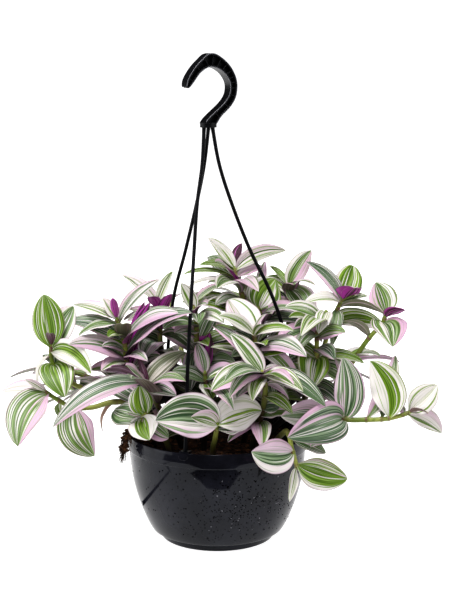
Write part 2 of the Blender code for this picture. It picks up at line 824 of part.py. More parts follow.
def hook_rib(point, normal, material):
    # A thin cross wall between the two flanges.
    half = point[2] / 2.0 - hook_flange(point[2]) / 2.0
    wide = HOOK_BREADTH / 2.0 - 0.5
    thin = HOOK_RIB_THICKNESS / 2.0
    along = (normal[1], -normal[0])
    verts = []
    for run in (-thin, thin):
        for across in (-wide, wide):
            for height in (-half, half):
                u = point[0] + normal[0] * height + along[0] * run
                z = point[1] + normal[1] * height + along[1] * run
                verts.append(hook_place(u, across, z))
    faces = [(0, 1, 3, 2), (4, 6, 7, 5), (0, 4, 5, 1), (2, 3, 7, 6), (0, 2, 6, 4), (1, 5, 7, 3)]
    return make_object("rib", verts, faces, material)


# Leaves

def leaf_rib(base, stem_direction, tip):
    # The midrib leaves the stem steeply and arches over towards the tip.
    reach = tip - base
    start = (reach.normalized() + 0.55 * stem_direction + Vector((0.0, 0.0, 0.25))).normalized()
    return base, base + start * reach.length * 0.52, tip


def leaf_frame(rib, face, share):
    base, middle, tip = rib
    point = base * (1 - share) ** 2 + middle * 2 * share * (1 - share) + tip * share ** 2
    tangent = ((middle - base) * (1 - share) + (tip - middle) * share).normalized()
    chord = (tip - base).normalized()
    normal = (face - chord * face.dot(chord)).normalized()
    across = chord.cross(normal)
    across = (across - tangent * across.dot(tangent)).normalized()
    return point, across, across.cross(tangent)


def leaf_shape(rib, face, width, swell=0.0, start=0):
    # A keeled blade: two edges, and the rib's upper and lower line between them.
    verts = []
    stations = LEAF_STATIONS if width > SLIM_WIDTH else SLIM_STATIONS
    for share, breadth, fold in stations[start:]:
        point, across, normal = leaf_frame(rib, face, share)
        half = max(LEAF_BREADTH * width * breadth / 2.0, 1.2) + swell
        angle = math.radians(fold)
        rise = normal * half * math.sin(angle)
        reach = across * half * math.cos(angle)
        thick = normal * (LEAF_THICKNESS / 2.0 + swell)
        verts += [point - reach + rise, point + thick, point + reach + rise, point - thick]
    tip_point, _, _ = leaf_frame(rib, face, 1.0)
    verts.append(tip_point)
    faces = [(0, 1, 3), (1, 2, 3)]
    rings = len(stations) - start
    for ring in range(rings - 1):
        low = 4 * ring
        high = low + 4
        for edge, middle in ((0, 1), (2, 1), (0, 3), (2, 3)):
            faces.append((low + edge, low + middle, high + middle))
            faces.append((low + edge, high + middle, high + edge))
    low = 4 * (rings - 1)
    for index in range(4):
        faces.append((low + index, low + (index + 1) % 4, low + 4))
    return verts, faces


def tree_of(shape):
    verts, faces = shape
    return BVHTree.FromPolygons([Vector(vert) for vert in verts], faces)


def box_of(points):
    low = Vector([min(point[axis] for point in points) for axis in range(3)])
    high = Vector([max(point[axis] for point in points) for axis in range(3)])
    return low, high


def boxes_meet(one, other):
    return all(one[0][axis] <= other[1][axis] and other[0][axis] <= one[1][axis] for axis in range(3))


class Obstacle:
    def __init__(self, owner, kind, shape):
        self.owner = owner
        self.kind = kind
        self.box = box_of(shape[0])
        self.tree = tree_of(shape)


def tip_moves():
    # Moves of a leaf's tip, the smallest first; depth changes the view least.
    moves = []
    for x in (0, -6, 6, -12, 12, -20, 20):
        for y in (0, -7, 7, -14, 14, -22, 22, -32, 32):
            for z in (0, 6, -6, 12, -12, 20, -20):
                moves.append((abs(y) + 2.2 * (abs(x) + abs(z)), (x, y, z)))
    moves.sort(key=lambda move: move[0])
    return [move for _, move in moves]


def stem_points(shoot):
    root = Vector((*shoot["root"], SOIL_TOP + COLLAR_RISE))
    return [root] + [Vector(point) for point in shoot["path"]]


def stem_curve(shoot):
    points = stem_points(shoot)
    last = len(points) - 1
    steps = max(3, round(1.25 * last))
    curve = [catmull(points, last * index / steps) for index in range(steps + 1)]
    return [Vector((*shoot["root"], SOIL_TOP - ROOT_DEPTH))] + curve


def stem_radii(count):
    return [STEM_RADIUS + (STEM_TIP_RADIUS - STEM_RADIUS) * max(0.0, index - 1) / (count - 2)
            for index in range(count)]


def stem_end(shoot):
    # The stem closes in a short tip past its last point.
    curve = stem_curve(shoot)
    direction = (curve[-1] - curve[-2]).normalized()
    return curve + [curve[-1] + direction * STEM_TIP], stem_radii(len(curve)) + [0.0]


def leaf_root(shoot, place):
    # Where a leaf sits on the stem's straight-sided line, and which way the stem runs there.
    curve = stem_curve(shoot)[1:]
    steps = len(curve) - 1
    along = min(place / len(shoot["path"]), 1.0) * steps
    index = min(int(along), steps - 1)
    start, end = curve[index:index + 2]
    return start.lerp(end, along - index), (end - start).normalized()


def leaf_is_free(owner, shape, inner, obstacles):
    # The whole leaf clears other stems; past its base it also clears every leaf.
    whole_box = box_of(shape[0])
    whole = None
    blade = None
    for obstacle in obstacles:
        if obstacle.kind == "stem" and obstacle.owner == owner:
            continue
        if not boxes_meet(whole_box, obstacle.box):
            continue
        if obstacle.kind == "leaf" and obstacle.owner == owner:
            blade = blade or tree_of(inner)
            if blade.overlap(obstacle.tree):
                return False
            continue
        whole = whole or tree_of(shape)
        if whole.overlap(obstacle.tree):
            return False
    return True


def place_leaves(shoots, leaves, obstacles):
    # Every leaf keeps its place, or the nearest place where it crosses nothing.
    moves = tip_moves()
    placed = {name: [] for name in shoots}
    for name, (place, tip, width, face) in leaves:
        base, direction = leaf_root(shoots[name], place)
        found = None
        for shrink in (1.0, 0.86, 0.72):
            for move in moves:
                reach = (Vector(tip) + Vector(move) - base) * shrink
                rib = leaf_rib(base, direction, base + reach)
                swollen = leaf_shape(rib, Vector(face), width * shrink, LEAF_MARGIN)
                inner = leaf_shape(rib, Vector(face), width * shrink, LEAF_MARGIN, 1)
                if leaf_is_free(name, swollen, inner, obstacles):
                    found = (rib, Vector(face), width * shrink)
                    break
            if found:
                break
        if not found:
            print("no room for a leaf of", name, "at", tip)
            continue
        placed[name].append(found)
        obstacles.append(Obstacle(name, "leaf", leaf_shape(*found, LEAF_MARGIN)))
    return placed


def back_path(out, reach, height):
    # Up past the rim, over a crest and out to the tip.
    crest = max(height, BACK_RIM_HEIGHT + 10.0) + BACK_CREST
    rise = crest - BACK_RIM_HEIGHT
    return [out * BACK_RIM_RING + Vector((0.0, 0.0, BACK_RIM_HEIGHT + 0.16 * rise)),
            out * (0.5 * reach + 42.0) + Vector((0.0, 0.0, BACK_RIM_HEIGHT + 0.5 * rise)),
            out * reach + Vector((0.0, 0.0, height))]


def back_leaves(angle, root, path, draw):
    # Two ranks, with a shorter leaf at the tip.
    out = Vector((math.cos(angle), math.sin(angle), 0.0))
    stem = [root + Vector((0.0, 0.0, SOIL_TOP + COLLAR_RISE))] + path
    leaves = []
    for node in range(BACK_NODES):
        last = node == BACK_NODES - 1
        place = 1.0 + 2.0 * (node + 1) / BACK_NODES
        spread = draw.uniform(*BACK_SPREAD) * (1.0 if node % 2 else -1.0)
        turn = angle + math.radians(spread * (BACK_END_SPREAD if last else 1.0))
        length = draw.uniform(*BACK_LENGTHS) * (BACK_END_LENGTH if last else 1.0)
        heading = Vector((math.cos(turn), math.sin(turn), draw.uniform(*BACK_DROPS))).normalized()
        tip = catmull(stem, place) + length * heading
        face = 0.45 * out + Vector((0.0, 0.0, 1.0))
        leaves.append((place, tuple(tip), draw.uniform(*BACK_WIDTHS), tuple(face)))
    return leaves


def back_shoots():
    # Stems round the back, with every draw seeded.
    draw = random.Random(BACK_SEED)
    shoots = {}
    for index, (bearing, reach, height) in enumerate(BACK_SHOOTS):
        angle = math.radians(bearing)
        out = Vector((math.cos(angle), math.sin(angle), 0.0))
        root = out * BACK_ROOT_RING
        path = back_path(out, reach, height)
        shoots["stem_back_%02d" % (index + 1)] = {
            "root": (root.x, root.y), "path": [tuple(point) for point in path],
            "leaves": back_leaves(angle, root, path, draw)}
    return shoots


def inner_leaves():
    # Older leaves along the stems, which fill the middle of the plant.
    draw = random.Random(INNER_SEED)
    added = {}
    low, high = INNER_SPAN
    bearing = 0.0
    for name, count in INNER_LEAVES.items():
        points = stem_points(SHOOTS[name])
        leaves = []
        for index in range(count):
            share = low + (high - low) * (index + draw.uniform(0.2, 0.8)) / count
            place = share * len(SHOOTS[name]["path"])
            bearing += math.radians(INNER_TURN + draw.uniform(-INNER_WANDER, INNER_WANDER))
            rise = draw.uniform(*INNER_RISE)
            heading = Vector((math.cos(bearing), math.sin(bearing), rise)).normalized()
            tip = catmull(points, place) + draw.uniform(*INNER_LENGTHS) * heading
            leaves.append((place, tuple(tip), draw.uniform(*INNER_WIDTHS), OPEN))
        added[name] = leaves
    return added


def guard_shapes():
    # The fixed things that leaves must stay clear of, a little swollen.
    side = RIM_RADIUS + 1.0
    top = RIM_TOP + 2.5
    floor = SOIL_TOP + 3.5
    outer = [(0.0, 0.0), (BOWL_FOOT_RADIUS, 0.0)]
    outer += [(bowl_radius(height) + 1.0, height) for height in bowl_heights()]
    outer += [(side, RIM_TOP - COLLAR_HEIGHT), (side, top), (side - 13.0, top),
              (side - 15.0, floor), (0.0, floor)]
    shapes = [turned_shape(outer, ROUND_SIDES)]
    for name in STRAND_BEARINGS:
        points = strand_points(name)
        shapes.append(tube_shape(points, [STRAND_RADIUS + 0.6] * len(points), 6))
    room = [tuft_place(*place) for place in TUFT_ROOM]
    shapes.append(tube_shape(room, [TUFT_ROOM_RADIUS] * len(room), 8))
    return shapes


def build_plant(material):
    # Every leaf finds its free place before it is fused to its stem.
    shoots = {**SHOOTS, **back_shoots()}
    leaves = [(name, leaf) for name, shoot in shoots.items() for leaf in shoot["leaves"]]
    leaves += [(name, leaf) for name, older in inner_leaves().items() for leaf in older]
    obstacles = [Obstacle("", "fixed", shape) for shape in guard_shapes()]
    for name, shoot in shoots.items():
        curve, radii = stem_end(shoot)
        swollen = [radius + STEM_MARGIN for radius in radii[:-1]] + [0.0]
        obstacles.append(Obstacle(name, "stem", tube_shape(curve, swollen, STEM_SIDES)))
    placed = place_leaves(shoots, leaves, obstacles)
    for name, shoot in shoots.items():
        curve, radii = stem_end(shoot)
        stem = make_tube(name, curve, radii, STEM_SIDES, material)
        blades = []
        for leaf in placed[name]:
            blades.append(make_object("leaf", *leaf_shape(*leaf), material))
        apply_boolean(stem, blades, 'UNION')
        keep_main_body(stem)
    return shoots


def main():
    clear_scene()
    black = make_material("black_plastic", (0.012, 0.012, 0.014), 0.25)
    peat = make_material("peat", (0.045, 0.026, 0.016), 0.95)
    leaf = make_material("leaf", (0.32, 0.42, 0.26), 0.45)
    shoots = build_plant(leaf)
    build_soil(peat, [shoot["root"] for shoot in shoots.values()])
    build_pot(black)
    build_saucer(black)
    for name in STRAND_BEARINGS:
        build_strand(name, black)
    build_hook(black)


main()
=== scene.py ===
import bpy
import bmesh
import math
import random
import numpy as np
from mathutils import Matrix, Vector, noise
from mathutils.bvhtree import BVHTree


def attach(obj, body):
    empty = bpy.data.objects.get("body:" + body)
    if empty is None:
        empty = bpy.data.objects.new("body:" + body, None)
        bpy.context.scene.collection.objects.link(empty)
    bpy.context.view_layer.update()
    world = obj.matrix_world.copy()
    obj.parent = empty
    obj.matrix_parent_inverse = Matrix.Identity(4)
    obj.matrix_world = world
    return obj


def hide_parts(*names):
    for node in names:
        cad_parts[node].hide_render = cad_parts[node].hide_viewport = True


# Potted nanouk tradescantia: striped trailing leaves in a glossy black hanging pot.
# The pot, hook, soil and leaves are worked out in millimetres; the camera, floor and lamps in metres.
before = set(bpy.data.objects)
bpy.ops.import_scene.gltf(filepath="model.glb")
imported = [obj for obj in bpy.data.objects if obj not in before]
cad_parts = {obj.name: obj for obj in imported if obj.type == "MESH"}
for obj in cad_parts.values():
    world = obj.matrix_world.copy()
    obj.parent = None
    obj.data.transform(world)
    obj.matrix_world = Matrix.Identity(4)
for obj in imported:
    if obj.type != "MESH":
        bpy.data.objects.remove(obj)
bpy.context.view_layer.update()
mm = 0.001

camera = {"place": (0.007, -1.23, 0.44), "tilt": 80.0, "lens": 81.4, "sensor": 36.0}


def linked(name, data):
    item = bpy.data.objects.new(name, data)
    bpy.context.collection.objects.link(item)
    return item


def makeCamera():
    data = bpy.data.cameras.new("camera")
    data.lens = camera["lens"]
    data.sensor_width = camera["sensor"]
    item = linked("camera", data)
    item.location = camera["place"]
    item.rotation_euler = (math.radians(camera["tilt"]), 0.0, 0.0)
    bpy.context.scene.camera = item


makeCamera()
print("camera set")


def plug(tree, slot, value):
    if isinstance(value, Wire):
        tree.links.new(value.socket, slot)
    else:
        slot.default_value = value


class Wire:
    # A shader socket that takes part in sums
    def __init__(self, tree, socket):
        self.tree = tree
        self.socket = socket

    def maths(self, operation, *others, swap=False, clamp=False):
        node = self.tree.nodes.new("ShaderNodeMath")
        node.operation = operation
        node.use_clamp = clamp
        values = [self, *others]
        if swap:
            values.reverse()
        for slot, value in zip(node.inputs, values):
            plug(self.tree, slot, value)
        return Wire(self.tree, node.outputs[0])

    def __add__(self, other):
        return self.maths("ADD", other)

    def __radd__(self, other):
        return self.maths("ADD", other, swap=True)

    def __sub__(self, other):
        return self.maths("SUBTRACT", other)

    def __rsub__(self, other):
        return self.maths("SUBTRACT", other, swap=True)

    def __mul__(self, other):
        return self.maths("MULTIPLY", other)

    def __rmul__(self, other):
        return self.maths("MULTIPLY", other, swap=True)

    def size(self):
        return self.maths("ABSOLUTE")

    def held(self):
        return self.maths("ADD", 0.0, clamp=True)


class Nodes:
    # Short ways to add to one node tree
    def __init__(self, tree):
        self.tree = tree

    def add(self, kind, settings=None, output=0, **values):
        # A socket is given by its name, or as n and its number
        node = self.tree.nodes.new(kind)
        for key, value in (settings or {}).items():
            if key == "stops":
                ramp = node.color_ramp
                while len(ramp.elements) < len(value):
                    ramp.elements.new(0.5)
                for element, (place, colour) in zip(ramp.elements, value):
                    element.position = place
                    element.color = colour
            else:
                setattr(node, key, value)
        for key, value in values.items():
            numbered = key[0] == "n" and key[1:].isdigit()
            plug(self.tree, node.inputs[int(key[1:]) if numbered else key], value)
        return Wire(self.tree, node.outputs[output])

    def note(self, name):
        return self.add("ShaderNodeAttribute", {"attribute_name": name}, output="Fac")

    def place(self):
        return self.add("ShaderNodeTexCoord", output="Object")

    def joined(self, x, y, z):
        return self.add("ShaderNodeCombineXYZ", X=x, Y=y, Z=z)

    def grain(self, where, scale, detail=2.0, roughness=0.5):
        return self.add("ShaderNodeTexNoise", output="Fac", Vector=where, Scale=scale, Detail=detail,
                        Roughness=roughness)

    def ease(self, value, low, high, start=0.0, end=1.0):
        return self.add("ShaderNodeMapRange", {"interpolation_type": "SMOOTHSTEP"}, Value=value,
                        n1=low, n2=high, n3=start, n4=end)

    def blend(self, share, one, other, way="MIX"):
        return self.add("ShaderNodeMix", {"data_type": "RGBA", "blend_type": way}, output=2,
                        n0=share, n6=one, n7=other)


class Paint(Nodes):
    # One material and its Principled shader
    def __init__(self, name, **values):
        self.material = bpy.data.materials.new(name)
        self.material.use_nodes = True
        super().__init__(self.material.node_tree)
        self.shader = self.tree.nodes["Principled BSDF"]
        self.feed(**values)

    def feed(self, **values):
        for key, value in values.items():
            plug(self.tree, self.shader.inputs[key.replace("_", " ")], value)

    def bump(self, height, strength, distance):
        normal = self.add("ShaderNodeBump", Height=height, Strength=strength, Distance=distance)
        self.feed(Normal=normal)


def rgb(red, green, blue):
    # sRGB bytes to the linear colour that shaders use
    linear = [(value / 255.0) / 12.92 if value <= 10 else ((value / 255.0 + 0.055) / 1.055) ** 2.4
              for value in (red, green, blue)]
    return (*linear, 1.0)


def joinShapes(shapes):
    # Several shapes, each its points and faces, as one
    verts = []
    faces = []
    for shapeVerts, shapeFaces in shapes:
        start = len(verts)
        verts += [Vector(vert) for vert in shapeVerts]
        faces += [[start + index for index in face] for face in shapeFaces]
    return verts, faces


def finished(mesh, nodes, smooth):
    # Every piece rides on the one body and stands for the nodes it names
    mesh.shade_smooth()
    mesh.set_sharp_from_angle(angle=math.radians(smooth))
    item = linked(mesh.name, mesh)
    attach(item, "root")
    if nodes:
        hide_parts(*nodes)
    return item


def newPiece(name, shapes, material, nodes, smooth, scale=1.0):
    verts, faces = joinShapes(shapes)
    mesh = bpy.data.meshes.new(name)
    mesh.from_pydata([tuple(vert * scale) for vert in verts], [], faces)
    mesh.materials.append(material)
    mesh.validate()
    return finished(mesh, nodes, smooth)


# Leaf colours, with the tint of the painted shade that darkens the plant's middle
leafTints = {
    "fresh": rgb(62, 92, 4), "freshLight": rgb(120, 150, 36), "slate": rgb(46, 68, 48),
    "slateLight": rgb(108, 130, 98), "silver": rgb(152, 168, 140), "white": rgb(210, 205, 202),
    "lilac": rgb(202, 180, 194), "rose": rgb(191, 153, 178), "magenta": rgb(176, 60, 164),
    "plum": rgb(66, 24, 48), "lime": rgb(134, 158, 46), "sage": rgb(132, 148, 88),
    # rim: the leaf edge's darker line, partly underside colour and partly painted edge shade
    "shade": rgb(40, 34, 32), "rim": rgb(112, 92, 96), "olive": rgb(124, 128, 104),
    "driedTop": rgb(146, 116, 102), "driedUnder": rgb(116, 88, 80),
}
leafShine = {"Specular_IOR_Level": 0.42, "Subsurface_Weight": 0.12, "Subsurface_Scale": 0.002}


def stripes(paint):
    # Broad, narrow and hair-fine stripes that run along the leaf and waver a little
    across = paint.note("across")
    along = paint.note("along")
    seed = paint.note("leafSeed")
    waver = paint.grain(paint.joined(along * 2.2, seed * 9.1, across * 0.7), 1.0, 1.0) - 0.5
    line = across + waver * 0.09
    broad = paint.grain(paint.joined(line * 2.3 + seed * 31.0, along * 0.35, seed * 7.7), 1.0, 0.0)
    narrow = paint.grain(paint.joined(line * 7.0 + seed * 53.0, along * 0.5, seed * 3.3), 1.0, 1.0, 0.6)
    hair = paint.grain(paint.joined(line * 20.0 + seed * 71.0, along * 0.9, seed * 5.1), 1.0, 1.0, 0.6)
    pin = paint.grain(paint.joined(line * 13.0 + seed * 97.0, along * 0.6, seed * 2.9), 1.0, 0.0)
    return line, broad - 0.5, narrow - 0.5, hair - 0.5, pin - 0.5


def finishLeaf(paint, colour, oldColour, rough, grainy, pin, hair):
    # Age, and painted shade that darkens the plant's middle, lie over the colours, and ribs run along the
    # stripes
    colour = paint.blend(paint.note("leafAged"), colour, oldColour)
    colour = paint.blend(paint.note("leafShade"), colour, leafTints["shade"], "MULTIPLY")
    fine = paint.grain(paint.place(), 900.0, 2.0)
    paint.feed(Base_Color=colour, Roughness=rough + fine * grainy)
    paint.bump(pin * 1.2 + hair * 0.8 + fine * 0.2, 0.4, 0.0007)
    return paint.material


def leafTopPaint():
    paint = Paint("leafTop", Subsurface_Radius=(1.0, 0.9, 0.6), **leafShine)
    across = paint.note("across")
    pink = paint.note("leafPink")
    dark = paint.note("leafDark")
    edge = paint.note("leafEdge")
    line, broad, narrow, hair, pin = stripes(paint)
    middle = 1.0 - paint.ease(line.size(), 0.05, 0.6)
    level = broad * 2.0 + narrow * 1.15 + hair * 0.35 + (paint.note("leafGreen") - 0.5) * 0.85
    level = level + middle * (0.05 + edge * 0.22)
    sided = paint.ease(across * paint.note("leafSide"), -0.5, 0.8)
    level = level - paint.ease(across.size(), 0.5, 1.0) * edge * 0.5 - (sided - 0.42) * pink * 0.75
    greenMask = paint.ease(level, -0.03, 0.03)
    # the green is fresh or slate, with paler streaks and thin white lines
    tone = paint.ease(hair * 0.9 + narrow * 0.8, -0.16, 0.2)
    fresh = paint.blend(tone, leafTints["fresh"], leafTints["freshLight"])
    slate = paint.blend(tone, leafTints["slate"], leafTints["slateLight"])
    silvered = paint.ease(narrow * 0.8 + hair * 0.8 + broad * 0.5, 0.04, 0.24) * (0.1 + dark * 0.5)
    greenPart = paint.blend(silvered, paint.blend(dark, fresh, slate), leafTints["silver"])
    greenPart = paint.blend(paint.ease(pin, 0.11, 0.16) * 0.8, greenPart, leafTints["white"])
    # the pale parts are white, turning lilac and rose towards one side
    blush = (pink * (0.45 + sided * 0.9) + broad * 0.9 + narrow * 0.5).held()
    pale = paint.blend(paint.ease(blush, 0.1, 0.6), leafTints["white"], leafTints["lilac"])
    pale = paint.blend(paint.ease(blush, 0.55, 1.15), pale, leafTints["rose"])
    lines = paint.ease(0.0 - pin, 0.1, 0.17) * 0.5 + paint.ease(hair, 0.06, 0.2) * 0.25
    pale = paint.blend(lines.held(), pale, paint.blend(dark, leafTints["sage"], leafTints["slateLight"]))
    colour = paint.blend(greenMask, pale, greenPart)
    # a rosy margin, a darker rim line that is partly the underside's colour at the edge and partly painted
    # edge shade, and a lime base
    margin = paint.ease(across.size(), 0.92, 0.97) * (0.15 + pink * 0.5)
    colour = paint.blend(margin.held(), colour, leafTints["rose"])
    colour = paint.blend(paint.ease(across.size(), 0.955, 0.99) * 0.7, colour, leafTints["rim"])
    base = 1.0 - paint.ease(paint.note("along"), 0.0, 0.1)
    colour = paint.blend(base * 0.6, colour, leafTints["lime"])
    rough = 0.36 + hair * 0.2 + paint.note("leafAged") * 0.25
    return finishLeaf(paint, colour, leafTints["driedTop"], rough, 0.1, pin, hair)


def leafUnderPaint():
    paint = Paint("leafUnder", Subsurface_Radius=(1.0, 0.7, 0.7), **leafShine)
    under = paint.note("leafUnder")
    broad, narrow, hair, pin = stripes(paint)[1:]
    level = broad * 1.5 + narrow * 1.5 + (paint.note("leafGreen") - 0.5) * 0.85 + 0.08
    palePart = paint.blend(under, leafTints["lilac"], leafTints["magenta"])
    darkPart = paint.blend(under, leafTints["olive"], leafTints["plum"])
    colour = paint.blend(paint.ease(level, -0.05, 0.05), palePart, darkPart)
    streak = paint.ease(hair + pin * 0.8, 0.0, 0.25) * 0.4
    colour = paint.blend(streak, colour, paint.blend(under, leafTints["sage"], leafTints["rose"]))
    return finishLeaf(paint, colour, leafTints["driedUnder"], 0.34, 0.16, pin, hair)


stemTints = {
    "green": rgb(104, 124, 46), "pale": rgb(146, 152, 76), "fleck": rgb(116, 62, 84),
    "ring": rgb(96, 84, 52), "old": rgb(66, 46, 34),
}


def stemPaint():
    paint = Paint("stemSkin", Specular_IOR_Level=0.4, Subsurface_Weight=0.1,
                  Subsurface_Radius=(1.0, 1.0, 0.5), Subsurface_Scale=0.002)
    ring = paint.note("across")
    age = paint.note("leafAged")
    fleck = paint.grain(paint.place(), 260.0, 3.0, 0.6)
    run = paint.joined(paint.note("along") * 3.0, paint.note("leafSeed") * 11.0, fleck * 2.0)
    streak = paint.grain(run, 1.0, 1.0)
    colour = paint.blend(paint.ease(streak, 0.35, 0.65), stemTints["green"], stemTints["pale"])
    colour = paint.blend(paint.ease(fleck + ring * 0.35, 0.72, 0.95), colour, stemTints["fleck"])
    colour = paint.blend((ring * 0.45).held(), colour, stemTints["ring"])
    # browner and darker towards the soil: partly age, partly painted shade at the soil line
    colour = paint.blend((age * 0.9).held(), colour, stemTints["old"])
    # painted shade darkens the stems in the plant's middle
    colour = paint.blend(paint.note("leafShade"), colour, leafTints["shade"], "MULTIPLY")
    paint.feed(Base_Color=colour, Roughness=0.36 + fleck * 0.2 + age * 0.2)
    paint.bump(fleck + ring * 0.5, 0.3, 0.0004)
    return paint.material


# Black moulded plastic, with its share of dust specks
plastics = {
    "potPlastic": {"low": rgb(18, 18, 23), "high": rgb(44, 45, 54), "rough": 0.01, "specks": 0.6},
    "hangerPlastic": {"low": rgb(10, 10, 12), "high": rgb(18, 18, 22), "rough": 0.34, "specks": 0.0},
}
dustTint = rgb(66, 60, 56)
peatSteps = [(0.28, rgb(14, 9, 8)), (0.48, rgb(42, 28, 20)), (0.6, rgb(92, 62, 40)),
             (0.74, rgb(160, 116, 76))]


def plasticPaint(name):
    look = plastics[name]
    paint = Paint(name, Specular_IOR_Level=0.2, Specular_Tint=(0.93, 0.96, 1.0, 1.0))
    where = paint.place()
    cloud = paint.grain(where, 26.0, 4.0, 0.6)
    dot = paint.ease(paint.grain(where, 520.0, 2.0, 0.5), 0.70, 0.78) * look["specks"]
    colour = paint.blend(paint.ease(cloud, 0.3, 0.8) * 0.5, look["low"], look["high"])
    colour = paint.blend(dot.held(), colour, dustTint)
    fine = paint.grain(where, 1400.0, 2.0)
    paint.feed(Base_Color=colour, Roughness=look["rough"] + cloud * 0.05 + fine * 0.03 + dot * 0.4)
    paint.bump(fine * 0.4 + cloud * 0.5, 0.08, 0.0004)
    return paint.material


def peatPaint():
    paint = Paint("peat", Specular_IOR_Level=0.25)
    where = paint.place()
    crumb = paint.grain(where, 190.0, 5.0, 0.7)
    clod = paint.grain(where, 46.0, 3.0)
    colour = paint.add("ShaderNodeValToRGB", {"stops": peatSteps}, Fac=crumb * 0.8 + clod * 0.2)
    paint.feed(Base_Color=colour, Roughness=0.78 + crumb * 0.2)
    paint.bump(crumb, 0.9, 0.002)
    return paint.material


def plainPaint(name, tint, rough, shine):
    return Paint(name, Base_Color=tint, Roughness=rough, Specular_IOR_Level=shine).material


leafTop = leafTopPaint()
leafUnder = leafUnderPaint()
stemSkin = stemPaint()
potSkin = plasticPaint("potPlastic")
hangerSkin = plasticPaint("hangerPlastic")
# painted highlight lines along the hook's flange edges
highlightLineSkin = plainPaint("hookHighlightLine", rgb(96, 96, 101), 0.35, 0.4)
# drops of water: painted black for the dark they reflect, and a few painted light grey as glints
dropSkin = plainPaint("drop", rgb(6, 6, 7), 0.4, 0.0)
glintSkin = plainPaint("glint", rgb(92, 92, 98), 0.3, 0.4)
peatSkin = peatPaint()
print("materials made")


# Round pieces
def bands(rings, sides):
    # Faces between each ring of corner numbers and the next, where a ring of one number is a tip
    faces = []
    for lower, upper in zip(rings, rings[1:]):
        for step in range(sides):
            following = (step + 1) % sides
            corners = [lower[step % len(lower)], lower[following % len(lower)],
                       upper[following % len(upper)], upper[step % len(upper)]]
            faces.append(list(dict.fromkeys(corners)))
    return faces


def lathe(profile, sides):
    # Rings from a list of (radius, height), closed on the axis at both ends
    verts = []
    rings = []
    for radius, height in profile:
        count = sides if radius else 1
        rings.append(list(range(len(verts), len(verts) + count)))
        for step in range(count):
            angle = 2.0 * math.pi * step / sides
            verts.append((radius * math.cos(angle), radius * math.sin(angle), height))
    return verts, bands(rings, sides)


def rounded(corners, radius, steps=4):
    # The profile with each inner corner turned into a short arc
    points = [corners[0]]
    for before, corner, after in zip(corners, corners[1:], corners[2:]):
        corner = Vector(corner)
        a = Vector(before) - corner
        b = Vector(after) - corner
        reach = min(radius, a.length * 0.45, b.length * 0.45)
        start = corner + a.normalized() * reach
        end = corner + b.normalized() * reach
        for step in range(steps + 1):
            t = step / steps
            points.append(tuple(start * (1 - t) ** 2 + corner * 2 * t * (1 - t) + end * t ** 2))
    return points + [corners[-1]]


def turnedOut(item):
    # Every face looks outwards
    shell = bmesh.new()
    shell.from_mesh(item.data)
    bmesh.ops.recalc_face_normals(shell, faces=shell.faces)
    shell.to_mesh(item.data)
    shell.free()


def outward(bearing):
    angle = math.radians(bearing)
    return Vector((math.sin(angle), -math.cos(angle), 0.0))


def upward(height):
    return Vector((0.0, 0.0, height))


def boxShape(size, place):
    # A block of the given size, whose corners the place function sets down
    verts = [place(x * size[0], y * size[1], z * size[2])
             for x in (-0.5, 0.5) for y in (-0.5, 0.5) for z in (-0.5, 0.5)]
    return verts, [(0, 1, 3, 2), (4, 6, 7, 5), (0, 4, 5, 1), (2, 3, 7, 6), (0, 2, 6, 4), (1, 5, 7, 3)]


# Pot and saucer
potSizes = {
    "sides": 128, "rows": 22, "rim": 85.0, "top": 100.0, "collar": 13.5, "step": 2.5, "wall": 1.8,
    "base": 2.1, "foot": 52.0, "footSlope": 1.6, "bowlFoot": 61.0, "bowlGap": 0.6, "swell": 0.8,
    "round": 0.7, "collarRound": 0.8,
    # the collar: how far inside the rim, and how far above its own lower edge
    "collarForm": [(0.4, 0.0), (0.1, 5.0), (0.8, 13.5), (3.0, 13.5), (4.2, 1.0)],
    # the inside from the wall down over the floor, as (radius, height)
    "floorForm": [(59.2, 11.5), (51.8, 10.0), (50.2, 5.0), (0.0, 5.0)],
    # the lugs that hold the strands: bearings, distance from the middle, and size in metres
    "bearings": {"front": -20.6, "right": 99.4, "back": -140.6}, "ring": 79.0,
    "lugSize": (0.009, 0.0075, 0.011), "lugShift": 0.5, "lugHeight": 95.5,
    "saucer": 55.5, "saucerFoot": 53.0, "saucerTop": 7.5, "saucerWall": 1.6, "saucerFloor": 1.8,
    "saucerSlope": 1.0,
}


def bowlRadius(height):
    low = potSizes["saucerTop"]
    high = potSizes["top"] - potSizes["collar"]
    share = max(0.0, (height - low) / (high - low))
    reach = potSizes["rim"] - potSizes["step"] - potSizes["bowlFoot"]
    return potSizes["bowlFoot"] + reach * math.sin(share * math.pi / 2.0) ** potSizes["swell"]


def bowlLine(rows, more=0.0):
    # The bowl's side as (radius, height), with its rows closer together near the foot
    low = potSizes["saucerTop"] + potSizes["bowlGap"]
    high = potSizes["top"] - potSizes["collar"]
    heights = [low + (high - low) * (row / rows) ** 1.3 for row in range(rows + 1)]
    return [(bowlRadius(height) + more, height) for height in heights]


def inMetres(profile):
    return [(radius * mm, height * mm) for radius, height in profile]


